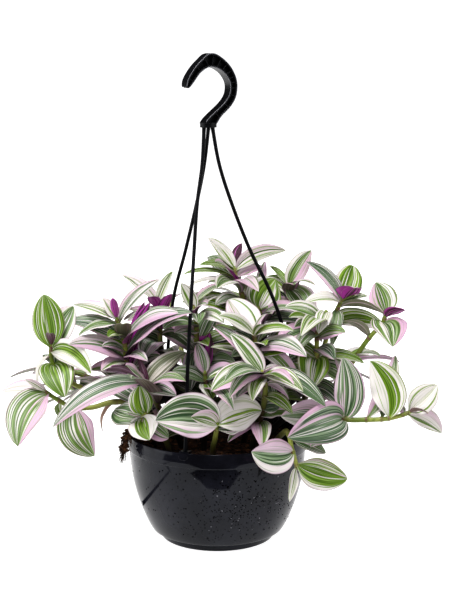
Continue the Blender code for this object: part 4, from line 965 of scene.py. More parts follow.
# each leafy stem: where it leaves the soil, the points it grows through, and its leaves as
# (place along the points, tip, width, direction of the upper face, look)
shoots = {
    "stem_left_upper": {
        "root": (-52, 6),
        "path": [(-91, -14, 143), (-108, -15, 143), (-128, -18, 146),
                 (-144, -20, 158), (-151, -22, 171), (-151, -22, 184)],
        "leaves": [
            (5.9, (-158, -14, 231), 27, front, "leafy"), (5.7, (-133, -2, 217), 24, front, "silver"),
            (5.6, (-113, -45, 164), 20, front, "lime"), (6.0, (-149, -26, 202), 8, away, "plum"),
            (4.6, (-136, -52, 144), 29, slant, "leafy"), (4.2, (-131, -12, 141), 16, slant, "lilac"),
            (5.3, (-163, -24, 145), 9, left, "cream"), (2.2, (-125, -28, 151), 14, slant, "dark"),
        ],
    },
    "stem_left_trailing": {
        "root": (-60, -20),
        "path": [(-78, -38, 136), (-101, -42, 135), (-124, -40, 130),
                 (-142, -38, 137), (-156, -35, 145)],
        "leaves": [
            (5.0, (-196, -28, 144), 15, slant, "pale"), (4.9, (-173, -20, 158), 8, slant, "pale"),
            (4.7, (-175, -66, 107), 31, slant, "pinkSide"), (3.2, (-109, -66, 94), 30, front, "turned"),
            (4.0, (-140, -30, 117), 7, slant, "fresh"), (1.6, (-105, -32, 106), 6, left, "dry"),
        ],
    },
    "stem_left_back": {
        "root": (-44, 22),
        "path": [(-65, 5, 132), (-77, 0, 151), (-84, -5, 166),
                 (-85, -8, 182), (-88, -8, 195), (-92, -8, 206)],
        "leaves": [
            (3.0, (-133, -32, 190), 23, slant, "lilac"), (3.0, (-23, -72, 226), 27, slant, "banded"),
            (4.0, (-34, -38, 223), 21, slant, "mauve"), (5.9, (-134, 6, 218), 15, slant, "pale"),
            (5.3, (-126, -26, 195), 17, up, "silver"), (6.0, (-105, 2, 226), 11, slant, "pale"),
            (6.0, (-94, -12, 230), 7, away, "magenta"), (5.5, (-80, 16, 220), 7, slant, "fresh"),
            (5.7, (-53, 6, 242), 12, slant, "blush"),
        ],
    },
    "stem_centre_left": {
        "root": (-28, 40),
        "path": [(-50, 25, 151), (-54, 28, 189), (-57, 28, 215)],
        "leaves": [
            (3.0, (-90, 36, 241), 12, slant, "pale"), (2.9, (-42, 26, 246), 10, slant, "cream"),
            (2.3, (-42, 8, 228), 10, away, "magenta"), (2.2, (-82, 14, 212), 13, slant, "rose"),
            (2.0, (-44, -4, 216), 14, slant, "beige"), (1.6, (-84, 24, 180), 20, slant, "dark"),
            (2.7, (-62, 2, 226), 11, away, "magenta"),
        ],
    },
    "stem_centre": {
        "root": (-14, -4),
        "path": [(-18, -10, 145), (-19, -15, 184), (-19, -18, 206), (-21, -15, 221)],
        "leaves": [
            (3.1, (6, -46, 211), 18, slant, "silver"), (3.5, (4, 0, 228), 7, up, "cream"),
            (3.8, (-12, 6, 233), 10, away, "lime"), (4.0, (-4, 16, 238), 8, slant, "pinkSide"),
            (3.6, (-33, -5, 242), 12, front, "cream"), (1.8, (-24, -42, 148), 17, slant, "slate"),
            (2.1, (-4, -12, 180), 14, away, "magenta"), (1.3, (12, -34, 136), 16, slant, "dark"),
        ],
    },
    "stem_top": {
        "root": (8, 34),
        "path": [(27, 40, 167), (24, 42, 216), (19, 42, 231), (16, 42, 245)],
        "leaves": [
            (4.0, (-9, 45, 275), 13, slant, "lime"), (3.8, (-17, 35, 251), 10, slant, "leafy"),
            (3.1, (-32, 25, 244), 12, up, "fresh"), (2.6, (-27, 10, 235), 12, up, "cream"),
            (4.0, (23, 50, 262), 10, away, "plum"), (3.9, (66, 60, 261), 14, front, "pale"),
            (2.3, (0, 8, 239), 20, slant, "silver"), (1.7, (48, 62, 200), 20, slant, "fresh"),
        ],
    },
    "stem_centre_right": {
        "root": (25, -8),
        "path": [(36, -25, 154), (36, -30, 181), (33, -32, 196)],
        "leaves": [
            (3.0, (10, -10, 226), 27, slant, "pale"), (2.9, (2, -50, 218), 16, slant, "cream"),
            (2.8, (68, -46, 205), 13, slant, "lime"), (3.0, (44, -26, 218), 6, left, "rose"),
            (3.0, (41, -36, 211), 5, front, "lime"), (2.0, (78, -76, 187), 23, slant, "blush"),
            (1.3, (50, -48, 132), 14, slant, "dark"),
        ],
    },
    "stem_right_inner": {
        "root": (30, 28),
        "path": [(42, 30, 179), (39, 33, 208)],
        "leaves": [
            (2.0, (55, 42, 236), 32, front, "leafy"), (1.9, (22, 50, 233), 12, slant, "fresh"),
            (2.0, (46, 62, 238), 10, slant, "rose"), (1.5, (70, 44, 200), 18, slant, "slate"),
        ],
    },
    "stem_right_top": {
        "root": (48, 46),
        "path": [(66, 46, 176), (68, 46, 210), (68, 46, 227)],
        "leaves": [
            (3.0, (89, 46, 263), 18, front, "pinkSide"), (2.8, (88, 12, 197), 23, slant, "silver"),
            (2.9, (91, 36, 235), 9, up, "pale"), (2.9, (50, 68, 245), 7, slant, "fresh"),
            (1.8, (88, 66, 184), 19, slant, "dark"),
        ],
    },
    "stem_right_upper": {
        "root": (44, 24),
        "path": [(88, 20, 140), (98, 16, 172), (106, 12, 197), (112, 10, 214), (116, 10, 221)],
        "leaves": [
            (4.8, (82, 12, 257), 12, front, "slate"), (5.0, (124, -18, 238), 21, away, "magenta"),
            (4.8, (128, 25, 250), 24, front, "fresh"), (4.4, (79, -6, 221), 14, slant, "cream"),
            (4.3, (141, 10, 236), 10, left, "silver"), (4.0, (154, 0, 211), 10, away, "olive"),
            (3.8, (104, -16, 182), 11, slant, "dark"),
        ],
    },
    "stem_right_outer": {
        "root": (64, -4),
        "path": [(104, 5, 134), (130, 5, 170), (140, 5, 186), (151, 5, 197), (156, 5, 209)],
        "leaves": [
            (5.0, (147, 10, 237), 24, front, "turned"), (4.6, (172, -12, 216), 12, away, "magenta"),
            (4.2, (170, -36, 187), 30, slant, "pinkSide"), (3.0, (116, -6, 205), 9, away, "olive"),
            (2.0, (149, -16, 174), 11, up, "dark"), (5.0, (163, 14, 222), 9, slant, "lime"),
        ],
    },
    "stem_right_trailing": {
        "root": (60, -24),
        "path": [(93, -45, 121), (116, -55, 124), (133, -58, 125),
                 (146, -60, 126), (159, -60, 128), (170, -60, 132)],
        "leaves": [
            (1.9, (112, -50, 180), 25, front, "core"), (4.5, (136, -50, 177), 28, front, "lime"),
            (5.5, (162, -63, 139), 6, front, "magenta"), (6.0, (196, -54, 156), 22, front, "cream"),
            (6.0, (184, -78, 138), 7, away, "beige"), (5.8, (202, -66, 111), 16, front, "pale"),
            (1.8, (61, -102, 121), 33, front, "grey"), (3.0, (162, -30, 177), 15, slant, "pinkSide"),
            (1.9, (106, -36, 174), 11, left, "rose"), (4.0, (140, -30, 150), 13, slant, "dark"),
            (1.0, (56, -84, 135), 26, front, "blush"),
        ],
    },
    "stem_right_middle": {
        "root": (45, -8),
        "path": [(84, -10, 136), (91, -12, 171), (91, -10, 192), (99, -8, 212)],
        "leaves": [
            (2.0, (84, -46, 150), 28, front, "fresh"), (4.0, (91, -32, 198), 14, slant, "cream"),
            (2.0, (113, 0, 172), 16, away, "plum"), (2.9, (50, -34, 182), 23, slant, "lilac"),
            (3.6, (61, -14, 220), 17, slant, "silver"), (1.2, (112, -28, 130), 20, slant, "slate"),
        ],
    },
    "stem_front_right": {
        "root": (32, -38),
        "path": [(43, -60, 147), (41, -62, 160), (40, -62, 168)],
        "leaves": [
            (3.0, (12, -56, 203), 18, slant, "silver"), (3.0, (55, -60, 175), 7, up, "rose"),
            (2.6, (75, -80, 158), 17, slant, "fresh"), (2.6, (-5, -86, 158), 24, slant, "pinkSide"),
            (2.8, (-5, -40, 202), 14, slant, "lilac"), (1.9, (17, -80, 151), 14, slant, "slate"),
            (1.6, (64, -60, 144), 9, slant, "magenta"),
        ],
    },
    "stem_front": {
        "root": (-4, -55),
        "path": [(-1, -70, 115), (0, -78, 126)],
        "leaves": [
            (2.0, (-53, -94, 134), 36, front, "wide"), (2.0, (-22, -102, 139), 14, front, "pale"),
            (2.0, (40, -96, 135), 31, front, "ivory"), (1.4, (48, -66, 143), 26, slant, "mauve"),
        ],
    },
    "stem_front_left": {
        "root": (-44, -46),
        "path": [(-58, -68, 131), (-65, -78, 132)],
        "leaves": [
            (2.0, (-58, -102, 119), 25, front, "lime"), (2.0, (-77, -92, 140), 10, up, "silver"),
            (1.8, (-92, -62, 135), 26, slant, "dark"), (1.5, (-68, -58, 158), 20, front, "fresh"),
            (1.8, (-42, -92, 114), 20, slant, "lilac"),
        ],
    },
    "stem_left_low": {
        "root": (-34, -28),
        "path": [(-58, -44, 142), (-64, -50, 155)],
        "leaves": [
            (2.0, (-144, -86, 126), 21, slant, "lowPink"), (2.0, (-101, -24, 162), 15, away, "plum"),
            (2.0, (-72, -34, 174), 18, away, "plum"), (1.4, (-36, -62, 148), 18, slant, "slate"),
        ],
    },
    "stem_centre_low": {
        "root": (-12, -32),
        "path": [(-10, -40, 142), (-11, -42, 163)],
        "leaves": [
            (1.4, (-4, -62, 145), 16, slant, "lime"), (2.0, (-18, -36, 190), 13, slant, "lilac"),
            (1.6, (16, -52, 172), 15, slant, "slate"), (1.5, (-40, -50, 168), 15, slant, "dark"),
        ],
    },
    "stem_over_rim": {
        "root": (50, -44),
        "path": [(62, -70, 119), (64, -80, 110), (67, -84, 101), (70, -85, 90)],
        "leaves": [
            (2.8, (30, -100, 108), 28, front, "blush"), (3.8, (115, -82, 78), 25, front, "turnedFresh"),
            (4.0, (63, -94, 61), 12, left, "cream"), (4.0, (79, -88, 77), 8, right, "lime"),
            (1.3, (97, -70, 104), 16, slant, "dark"),
        ],
    },
}

plant = {
    "guardSides": 28, "tuftRoom": [(79.0, 104.0), (90.0, 102.0), (95.5, 70.0)], "tuftRadius": 9.5,
    "stemSides": 5, "stemRadius": 2.9, "tipRadius": 1.9, "rootDepth": 12.0, "thickness": 1.6,
    "breadth": 1.2, "margin": 0.35, "slim": 26.0, "seed": 77, "jitter": 0.05, "shrinks": (1.0, 0.86, 0.72),
    "stemFiner": 7, "fineSides": 12, "stemSkin": 0.94, "ringWide": 0.14, "ringThick": 0.42,
    "rootRise": 6.0, "tipLength": 3.5, "ribTurn": 0.55, "ribLift": 0.25, "ribReach": 0.52,
    "stemSteps": 1.25, "stemAgeAndShade": (1.5, 2.8), "stemLook": (0.5, 0.3, 0.3, 0.5, 0.5, 0.5),
    # how far leaves stay clear of the pot, its rim, the soil, the strands and other stems
    "potGap": 1.0, "rimGap": 2.5, "rimInside": (12.0, 14.0), "soilGap": 3.5, "strandGap": 0.6,
    "stemGap": 0.8,
    # how far a leaf's tip may move to find room, where moves across the view cost more
    "movesX": (0, -6, 6, -12, 12, -20, 20), "movesY": (0, -7, 7, -14, 14, -22, 22, -32, 32),
    "movesZ": (0, 6, -6, 12, -12, 20, -20), "sideCost": 2.2,
    # the stems at the back: bearing, reach and height of each, and how its last leaf is smaller
    "backSeed": 11, "backRing": 66.0, "backNodes": 5, "backRim": (78.0, 118.0), "backLow": 128.0,
    "backRise": 14.0, "backLast": (0.45, 0.72), "backFirst": 0.16, "backMiddle": 42.0, "backLean": 0.45,
    "backSpread": (25.0, 62.0), "backLengths": (48.0, 66.0), "backDrop": (-0.35, 0.3),
    "backWidths": (21.0, 28.0),
    "back": [(32, 156, 146), (54, 150, 108), (74, 122, 206), (93, 154, 138), (112, 128, 200),
             (146, 150, 116), (166, 156, 150)],
    # older leaves low on the stems
    "innerSeed": 23, "innerSpan": (0.06, 0.8), "innerTurn": 137.5, "innerRise": (-0.35, 0.45),
    "innerLengths": (54.0, 74.0), "innerWidths": (19.0, 23.5), "innerPart": (0.2, 0.8), "innerSway": 20.0,
    "inner": {"stem_left_back": 4, "stem_centre_left": 4, "stem_centre": 4, "stem_centre_right": 4,
              "stem_front_right": 2, "stem_left_low": 3, "stem_right_middle": 3, "stem_right_inner": 4,
              "stem_top": 4, "stem_right_top": 3, "stem_left_upper": 2, "stem_right_upper": 2,
              "stem_centre_low": 1, "stem_right_trailing": 1},
    # a plain leaf's stations: share of the length, share of the width, fold in degrees
    "stations": [(0.0, 0.12, 50), (0.15, 0.7, 30), (0.43, 1.0, 13), (0.75, 0.72, 13)],
    "slimStations": [(0.0, 0.2, 50), (0.3, 1.0, 22), (0.68, 0.76, 15)],
    "looksBack": ["fresh", "silver", "blush", "lilac", "slate", "cream", "pinkSide", "lime", "dark"],
    "looksInner": ["dark", "slate", "fresh", "plum", "lilac", "dark"],
    # small leaves set one by one: stem, place, tip, width and look
    "gapLeaves": [("stem_centre_left", 1.3, (-38, -22, 176), 19, "silver"),
                  ("stem_centre_left", 0.9, (-46, -30, 168), 18, "dark"),
                  ("stem_left_low", 1.7, (-34, -34, 182), 17, "dryAndPaintedShade"),
                  ("stem_left_low", 1.5, (-30, -20, 172), 18, "dryAndPaintedShade"),
                  ("stem_left_back", 2.2, (-52, -14, 196), 17, "magenta"),
                  ("stem_centre_left", 2.0, (-14, -16, 190), 13, "purple"),
                  ("stem_centre_left", 2.4, (-22, -14, 186), 12, "purple"),
                  ("stem_centre_low", 2.2, (-7, -14, 195), 12, "purple"),
                  ("stem_left_back", 2.6, (-62, -6, 221), 12, "purple"),
                  ("stem_left_back", 2.2, (-48, -8, 219), 12, "purple"),
                  ("stem_centre_right", 0.8, (48, -44, 134), 18, "dark"),
                  ("stem_front_right", 0.7, (56, -46, 136), 17, "slate"),
                  ("stem_right_middle", 0.8, (58, -38, 140), 18, "fresh")],
    "fill": 110, "fillNone": ("stem_right_trailing", "stem_left_upper", "stem_right_upper"),
    "fillSeed": 6, "fillSpan": (0.08, 0.85), "fillBearing": (-90.0, 75.0), "fillRise": (-0.2, 0.6),
    "fillLengths": (26.0, 50.0), "fillWidths": (12.0, 18.0),
    "looksFill": ["dark", "slate", "fresh", "lilac", "fresh", "magenta", "pinkSide"],
}


def leafRib(base, stemDirection, tip):
    # The midrib leaves the stem steeply and arches over towards the tip
    reach = tip - base
    start = (reach.normalized() + plant["ribTurn"] * stemDirection + upward(plant["ribLift"])).normalized()
    return base, base + start * reach.length * plant["ribReach"], tip


def leafFrame(rib, face, share):
    # A point of the midrib, the way across the leaf there and the way its upper face looks
    base, middle, tip = rib
    point = base * (1 - share) ** 2 + middle * 2 * share * (1 - share) + tip * share ** 2
    tangent = ((middle - base) * (1 - share) + (tip - middle) * share).normalized()
    chord = (tip - base).normalized()
    normal = (face - chord * face.dot(chord)).normalized()
    across = chord.cross(normal)
    across = (across - tangent * across.dot(tangent)).normalized()
    return point, across, across.cross(tangent)


def plainLeaf(rib, face, width, swell=0.0, start=0):
    # The leaf with few faces, which finds its free place among the others
    verts = []
    stations = plant["stations"] if width > plant["slim"] else plant["slimStations"]
    for share, breadth, fold in stations[start:]:
        point, across, normal = leafFrame(rib, face, share)
        half = max(plant["breadth"] * width * breadth / 2.0, 1.2) + swell
        angle = math.radians(fold)
        rise = normal * half * math.sin(angle)
        reach = across * half * math.cos(angle)
        thick = normal * (plant["thickness"] / 2.0 + swell)
        verts += [point - reach + rise, point + thick, point + reach + rise, point - thick]
    verts.append(leafFrame(rib, face, 1.0)[0])
    faces = [(0, 1, 3), (1, 2, 3)]
    rings = len(stations) - start
    for ring in range(rings - 1):
        low = 4 * ring
        high = low + 4
        for edge, middle in ((0, 1), (2, 1), (0, 3), (2, 3)):
            faces.append((low + edge, low + middle, high + middle))
            faces.append((low + edge, high + middle, high + edge))
    low = 4 * (rings - 1)
    for index in range(4):
        faces.append((low + index, low + (index + 1) % 4, low + 4))
    return verts, faces


def treeOf(shape):
    verts, faces = shape
    return BVHTree.FromPolygons([Vector(vert) for vert in verts], faces)


def boxOf(points):
    low = Vector([min(point[axis] for point in points) for axis in range(3)])
    high = Vector([max(point[axis] for point in points) for axis in range(3)])
    return low, high


def boxesMeet(one, other):
    return all(one[0][axis] <= other[1][axis] and other[0][axis] <= one[1][axis] for axis in range(3))


class Obstacle:
    def __init__(self, owner, kind, shape):
        self.owner = owner
        self.kind = kind
        self.box = boxOf(shape[0])
        self.tree = treeOf(shape)


def tipMoves():
    # Moves of a leaf's tip, the smallest first; depth changes the view least
    moves = [(x, y, z) for x in plant["movesX"] for y in plant["movesY"] for z in plant["movesZ"]]
    return sorted(moves, key=lambda move: abs(move[1]) + plant["sideCost"] * (abs(move[0]) + abs(move[2])))


def stemPoints(shoot):
    root = Vector((*shoot["root"], soilSizes["top"] + plant["rootRise"]))
    return [root] + [Vector(point) for point in shoot["path"]]


def stemCurve(shoot):
    points = stemPoints(shoot)
    last = len(points) - 1
    steps = max(3, round(plant["stemSteps"] * last))
    curve = [catmull(points, last * index / steps) for index in range(steps + 1)]
    return [Vector((*shoot["root"], soilSizes["top"] - plant["rootDepth"]))] + curve


def stemRadii(count):
    taper = plant["tipRadius"] - plant["stemRadius"]
    return [plant["stemRadius"] + taper * max(0.0, index - 1) / (count - 2) for index in range(count)]


def stemEnd(shoot):
    # The stem's curve and radii with its closed tip
    curve = stemCurve(shoot)
    direction = (curve[-1] - curve[-2]).normalized()
    return curve + [curve[-1] + direction * plant["tipLength"]], stemRadii(len(curve)) + [0.0]


def leafRoot(shoot, place):
    # Where a leaf leaves its stem, the stem's direction there, and the place along its curve
    curve = stemCurve(shoot)[1:]
    steps = len(curve) - 1
    along = min(place / len(shoot["path"]), 1.0) * steps
    index = min(int(along), steps - 1)
    start, end = curve[index:index + 2]
    return start.lerp(end, along - index), (end - start).normalized(), 1.0 + along


def leafIsFree(owner, shape, inner, obstacles):
    # The whole leaf clears the fixed things and other stems with their leaves, and past its base
    # it clears the leaves of its own stem too
    wholeBox = boxOf(shape[0])
    whole = None
    blade = None
    for obstacle in obstacles:
        own = obstacle.owner == owner
        if own and obstacle.kind == "stem" or not boxesMeet(wholeBox, obstacle.box):
            continue
        if own:
            blade = blade or treeOf(inner)
        else:
            whole = whole or treeOf(shape)
        if (blade if own else whole).overlap(obstacle.tree):
            return False
    return True


def findPlace(owner, base, direction, tip, width, face, moves, obstacles):
    # The first free place in the order of the moves, at full size before any smaller one
    margin = plant["margin"]
    for shrink in plant["shrinks"]:
        for move in moves:
            reach = (Vector(tip) + Vector(move) - base) * shrink
            rib = leafRib(base, direction, base + reach)
            swollen = plainLeaf(rib, face, width * shrink, margin)
            inner = plainLeaf(rib, face, width * shrink, margin, 1)
            if leafIsFree(owner, swollen, inner, obstacles):
                return rib, face, width * shrink
    return None


def backShoots():
    # Stems round the back, with leaves in two ranks and every draw seeded
    draw = random.Random(plant["backSeed"])
    looking = random.Random(plant["backSeed"] + 1)
    count = plant["backNodes"]
    ring, level = plant["backRim"]
    lastSpread, lastLength = plant["backLast"]
    made = {}
    for index, (bearing, reach, height) in enumerate(plant["back"]):
        angle = math.radians(bearing)
        out = heading(angle)
        root = out * plant["backRing"]
        lift = max(height, plant["backLow"]) + plant["backRise"]
        path = [out * ring + upward(level + plant["backFirst"] * (lift - level)),
                out * (0.5 * reach + plant["backMiddle"]) + upward(0.5 * (lift + level)),
                out * reach + upward(height)]
        shoot = {"root": (root.x, root.y), "path": [tuple(point) for point in path], "leaves": []}
        for node in range(count):
            place = 1.0 + 2.0 * (node + 1) / count
            side = 1.0 if node % 2 else -1.0
            last = node == count - 1
            spread = side * draw.uniform(*plant["backSpread"]) * (lastSpread if last else 1.0)
            length = draw.uniform(*plant["backLengths"]) * (lastLength if last else 1.0)
            course = heading(angle + math.radians(spread), draw.uniform(*plant["backDrop"])).normalized()
            tip = catmull(stemPoints(shoot), place) + length * course
            face = plant["backLean"] * out + upward(1.0)
            shoot["leaves"].append((place, tuple(tip), draw.uniform(*plant["backWidths"]), tuple(face),
                                    looking.choice(plant["looksBack"])))
        made["stem_back_%02d" % (index + 1)] = shoot
    return made


def innerLeaves():
    # Older leaves low on the stems, which fill the middle of the plant
    draw = random.Random(plant["innerSeed"])
    looking = random.Random(plant["innerSeed"] + 1)
    low, high = plant["innerSpan"]
    sway = plant["innerSway"]
    bearing = 0.0
    added = []
    for name, count in plant["inner"].items():
        points = stemPoints(shoots[name])
        for index in range(count):
            share = low + (high - low) * (index + draw.uniform(*plant["innerPart"])) / count
            place = share * len(shoots[name]["path"])
            bearing += math.radians(plant["innerTurn"] + draw.uniform(-sway, sway))
            course = heading(bearing, draw.uniform(*plant["innerRise"])).normalized()
            tip = catmull(points, place) + draw.uniform(*plant["innerLengths"]) * course
            added.append((name, (place, tuple(tip), draw.uniform(*plant["innerWidths"]), slant,
                                 looking.choice(plant["looksInner"]))))
    return added


def fillLeaves():
    # Small leaves low among the stems, which close the gaps between the larger ones
    draw = random.Random(plant["fillSeed"])
    names = [name for name in plant["inner"] if name not in plant["fillNone"]]
    added = [(name, (place, tip, width, away if look == "purple" else slant, look))
             for name, place, tip, width, look in plant["gapLeaves"]]
    for _ in range(plant["fill"]):
        name = draw.choice(names)
        place = draw.uniform(*plant["fillSpan"]) * len(shoots[name]["path"])
        bearing = math.radians(draw.gauss(*plant["fillBearing"]))
        course = heading(bearing, draw.uniform(*plant["fillRise"])).normalized()
        tip = catmull(stemPoints(shoots[name]), place) + draw.uniform(*plant["fillLengths"]) * course
        added.append((name, (place, tuple(tip), draw.uniform(*plant["fillWidths"]), slant,
                             draw.choice(plant["looksFill"]))))
    return added


def guardShapes():
    # The fixed things that leaves must stay clear of, a little swollen
    rim, top = potSizes["rim"], potSizes["top"]
    gap, high = plant["potGap"], top + plant["rimGap"]
    level = soilSizes["top"] + plant["soilGap"]
    near, far = [rim - inside for inside in plant["rimInside"]]
    outer = [(0.0, 0.0), (potSizes["bowlFoot"], 0.0)] + bowlLine(4, gap)
    outer += [(rim + gap, top - potSizes["collar"]), (rim + gap, high), (near, high), (far, level),
              (0.0, level)]
    made = [lathe(outer, plant["guardSides"])]
    for name in potSizes["bearings"]:
        points = strandPoints(name)
        made.append(tubeShape(points, [strandSizes["radius"] + plant["strandGap"]] * len(points), 6))
    room = [tuftPlace(*place) for place in plant["tuftRoom"]]
    made.append(tubeShape(room, [plant["tuftRadius"]] * len(room), 8))
    return made


def placeLeaves(stems):
    # Every leaf keeps its place, or the nearest place where it crosses nothing
    obstacles = [Obstacle("", "fixed", shape) for shape in guardShapes()]
    for name, shoot in stems.items():
        curve, radii = stemEnd(shoot)
        swollen = [radius + plant["stemGap"] for radius in radii[:-1]] + [0.0]
        obstacles.append(Obstacle(name, "stem", tubeShape(curve, swollen, plant["stemSides"])))
    queue = [(name, leaf) for name, shoot in stems.items() for leaf in shoot["leaves"]]
    queue += innerLeaves() + fillLeaves()
    moves = tipMoves()
    placed = {name: [] for name in stems}
    for name, (place, tip, width, face, look) in queue:
        base, direction, spot = leafRoot(stems[name], place)
        found = findPlace(name, base, direction, tip, width, Vector(face), moves, obstacles)
        if found:
            placed[name].append((*found, look, spot))
            obstacles.append(Obstacle(name, "leaf", plainLeaf(*found, plant["margin"])))
    print("leaves placed", sum(len(leaves) for leaves in placed.values()), "of", len(queue))
    return placed


# Fine leaves and stems
blade = {
    "rows": 30, "columns": 12, "breadth": 1.13, "thick": 0.42,
    # each leaf draws its own waves, lean and twist
    "wave": (0.02, 0.07), "beats": (1.3, 2.6), "turn": 6.28, "lean": 0.05, "twist": 9.0, "slimFold": 16.0,
    "vein": 0.10, "veins": 5.0, "dent": 0.35, "curl": 0.10, "droop": 0.02,
    "slimWidth": 16.0, "twistFrom": 0.15, "cup": 1.35, "smallHalf": 8.0, "dentWide": 0.07,
    "leastHalf": 0.35, "baseHalf": 2.6, "baseSpan": 0.08,
    # where the painted shade of the plant's middle lies, how far it reaches and how it fades
    "paintedShadeMiddle": (0.0, 20.0, 98.0), "paintedShadeReach": (134.0, 104.0, 118.0), "paintedShadeFade": 0.46,
    # share of the length, share of the width, fold in degrees
    "outline": [(0.0, 0.15, 62), (0.04, 0.30, 52), (0.10, 0.56, 38), (0.18, 0.78, 27), (0.28, 0.93, 19),
                (0.38, 1.0, 14), (0.48, 1.0, 12), (0.58, 0.96, 12), (0.68, 0.87, 12), (0.77, 0.73, 12),
                (0.85, 0.56, 14), (0.91, 0.4, 17), (0.96, 0.23, 20), (1.0, 0.0, 24)],
}


def outlineAt(share, column):
    # A smooth curve through one column of the outline's stations
    stations = blade["outline"]
    for index in range(len(stations) - 1):
        if share <= stations[index + 1][0] or index == len(stations) - 2:
            low, high = stations[index], stations[index + 1]
            t = (share - low[0]) / (high[0] - low[0])
            before = stations[max(index - 1, 0)]
            after = stations[min(index + 2, len(stations) - 1)]
            m0 = (high[column] - before[column]) / max(high[0] - before[0], 1e-6) * (high[0] - low[0])
            m1 = (after[column] - low[column]) / max(after[0] - low[0], 1e-6) * (high[0] - low[0])
            return ((2 * t ** 3 - 3 * t ** 2 + 1) * low[column] + (t ** 3 - 2 * t ** 2 + t) * m0
                    + (-2 * t ** 3 + 3 * t ** 2) * high[column] + (t ** 3 - t ** 2) * m1)


def bladeFaces(rows, columns):
    # Corner numbers of the upper grid, the lower grid, the base's cap and the tip, with their side
    wide = columns + 1
    top = [[row * wide + column for column in range(wide)] for row in range(rows)]
    start = rows * wide
    low = []
    for row in range(rows):
        between = [start + row * (columns - 1) + column for column in range(columns - 1)]
        low.append([top[row][0], *between, top[row][-1]])
    tip = start + rows * (columns - 1)
    faces = []
    sides = []
    for row in range(rows - 1):
        for column in range(columns):
            near = (column, column + 1)
            faces.append([top[row][i] for i in near] + [top[row + 1][i] for i in near[::-1]])
            faces.append([low[row][column]] + [low[row + 1][i] for i in near] + [low[row][column + 1]])
            sides += [0, 1]
    for column in range(columns):
        faces.append((top[-1][column], top[-1][column + 1], tip))
        faces.append((low[-1][column], tip, low[-1][column + 1]))
        sides += [0, 1]
        if 0 < column < columns - 1:
            faces.append((top[0][column], low[0][column], low[0][column + 1], top[0][column + 1]))
            sides.append(1)
    faces.append((top[0][0], low[0][1], top[0][1]))
    faces.append((top[0][-2], low[0][-2], top[0][-1]))
    sides += [1, 1]
    return faces, sides


bladeShares = [0.5 - 0.5 * math.cos(math.pi * (row / blade["rows"]) ** 0.92) for row in range(blade["rows"])]
bladeHalves = [outlineAt(share, 1) for share in bladeShares]
bladeFolds = [math.radians(outlineAt(share, 2)) for share in bladeShares]
bladeGrid = bladeFaces(blade["rows"], blade["columns"])


def fineLeaf(rib, face, width, draw):
    # Points of one thin, keeled, slightly waved leaf, with where each lies across and along it
    rows, columns = blade["rows"], blade["columns"]
    across = np.linspace(-1.0, 1.0, columns + 1)
    wave = draw.uniform(*blade["wave"])
    beats = draw.uniform(*blade["beats"])
    phases = [draw.uniform(0.0, blade["turn"]) for _ in range(2)]
    lean = draw.uniform(-blade["lean"], blade["lean"])
    twist = math.radians(draw.uniform(-blade["twist"], blade["twist"]))
    slim = min(1.0, width / blade["slimWidth"])
    base = blade["baseSpan"]
    length = (rib[2] - rib[0]).length
    upper = []
    lower = []
    for row in range(rows):
        share = bladeShares[row]
        point, side, normal = leafFrame(rib, face, share)
        spin = twist * (share - blade["twistFrom"])
        side, normal = (side * math.cos(spin) + normal * math.sin(spin),
                        normal * math.cos(spin) - side * math.sin(spin))
        fold = bladeFolds[row] + math.radians(blade["slimFold"]) * (1.0 - slim)
        half = max(blade["breadth"] * width * bladeHalves[row] / 2.0, blade["leastHalf"])
        if share < base:
            half = max(half, blade["baseHalf"] * (1.0 - share / base) + half * share / base)
        lift = np.abs(across) ** blade["cup"] * half * math.sin(fold)
        reach = across * half * math.cos(fold) * (1.0 + lean * np.sign(across))
        ripple = np.where(across < 0, *[math.sin(beats * blade["turn"] * share + phase) for phase in phases])
        lift = lift + ripple * wave * half * across ** 2 * min(1.0, 3.0 * share)
        lift = lift - blade["curl"] * half * np.abs(across) ** 5
        small = min(1.0, half / blade["smallHalf"])
        vein = blade["vein"] * np.cos(across * 3.1416 * blade["veins"]) * small * (1.0 - across ** 2)
        dent = -blade["dent"] * np.exp(-(across / blade["dentWide"]) ** 2) * small
        thick = blade["thick"] * np.sqrt(np.clip(1.0 - across ** 2, 0.0, 1.0)) * min(1.0, 0.3 + half / 4.0)
        droop = -blade["droop"] * length * share ** 5
        upwards = np.array(normal)
        line = np.array(point) + np.outer(reach, np.array(side))
        upper.append(line + np.outer(lift + thick + vein + dent + droop, upwards))
        lower.append((line + np.outer(lift - thick + vein * 0.6 + dent * 0.8 + droop, upwards))[1:-1])
    point, _, normal = leafFrame(rib, face, 1.0)
    tip = np.array(point) + np.array(normal) * (-blade["droop"] * length)
    verts = np.concatenate(upper + lower + [tip[None, :]])
    acrossAll = np.concatenate([np.tile(across, rows), np.tile(across[1:-1], rows), [0.0]])
    alongAll = np.concatenate([np.repeat(bladeShares, columns + 1), np.repeat(bladeShares, columns - 1),
                               [1.0]])
    return verts, acrossAll, alongAll


def paintedShadeAmount(points):
    # How much painted shade a point gets: 1 in the plant's dark middle, falling to 0 towards its outer leaves
    centre = np.array(blade["paintedShadeMiddle"])
    reach = np.sqrt((((points - centre) / np.array(blade["paintedShadeReach"])) ** 2).sum(axis=1))
    fade = np.clip((1.0 - reach) / blade["paintedShadeFade"], 0.0, 1.0)
    return fade * fade * (3.0 - 2.0 * fade)


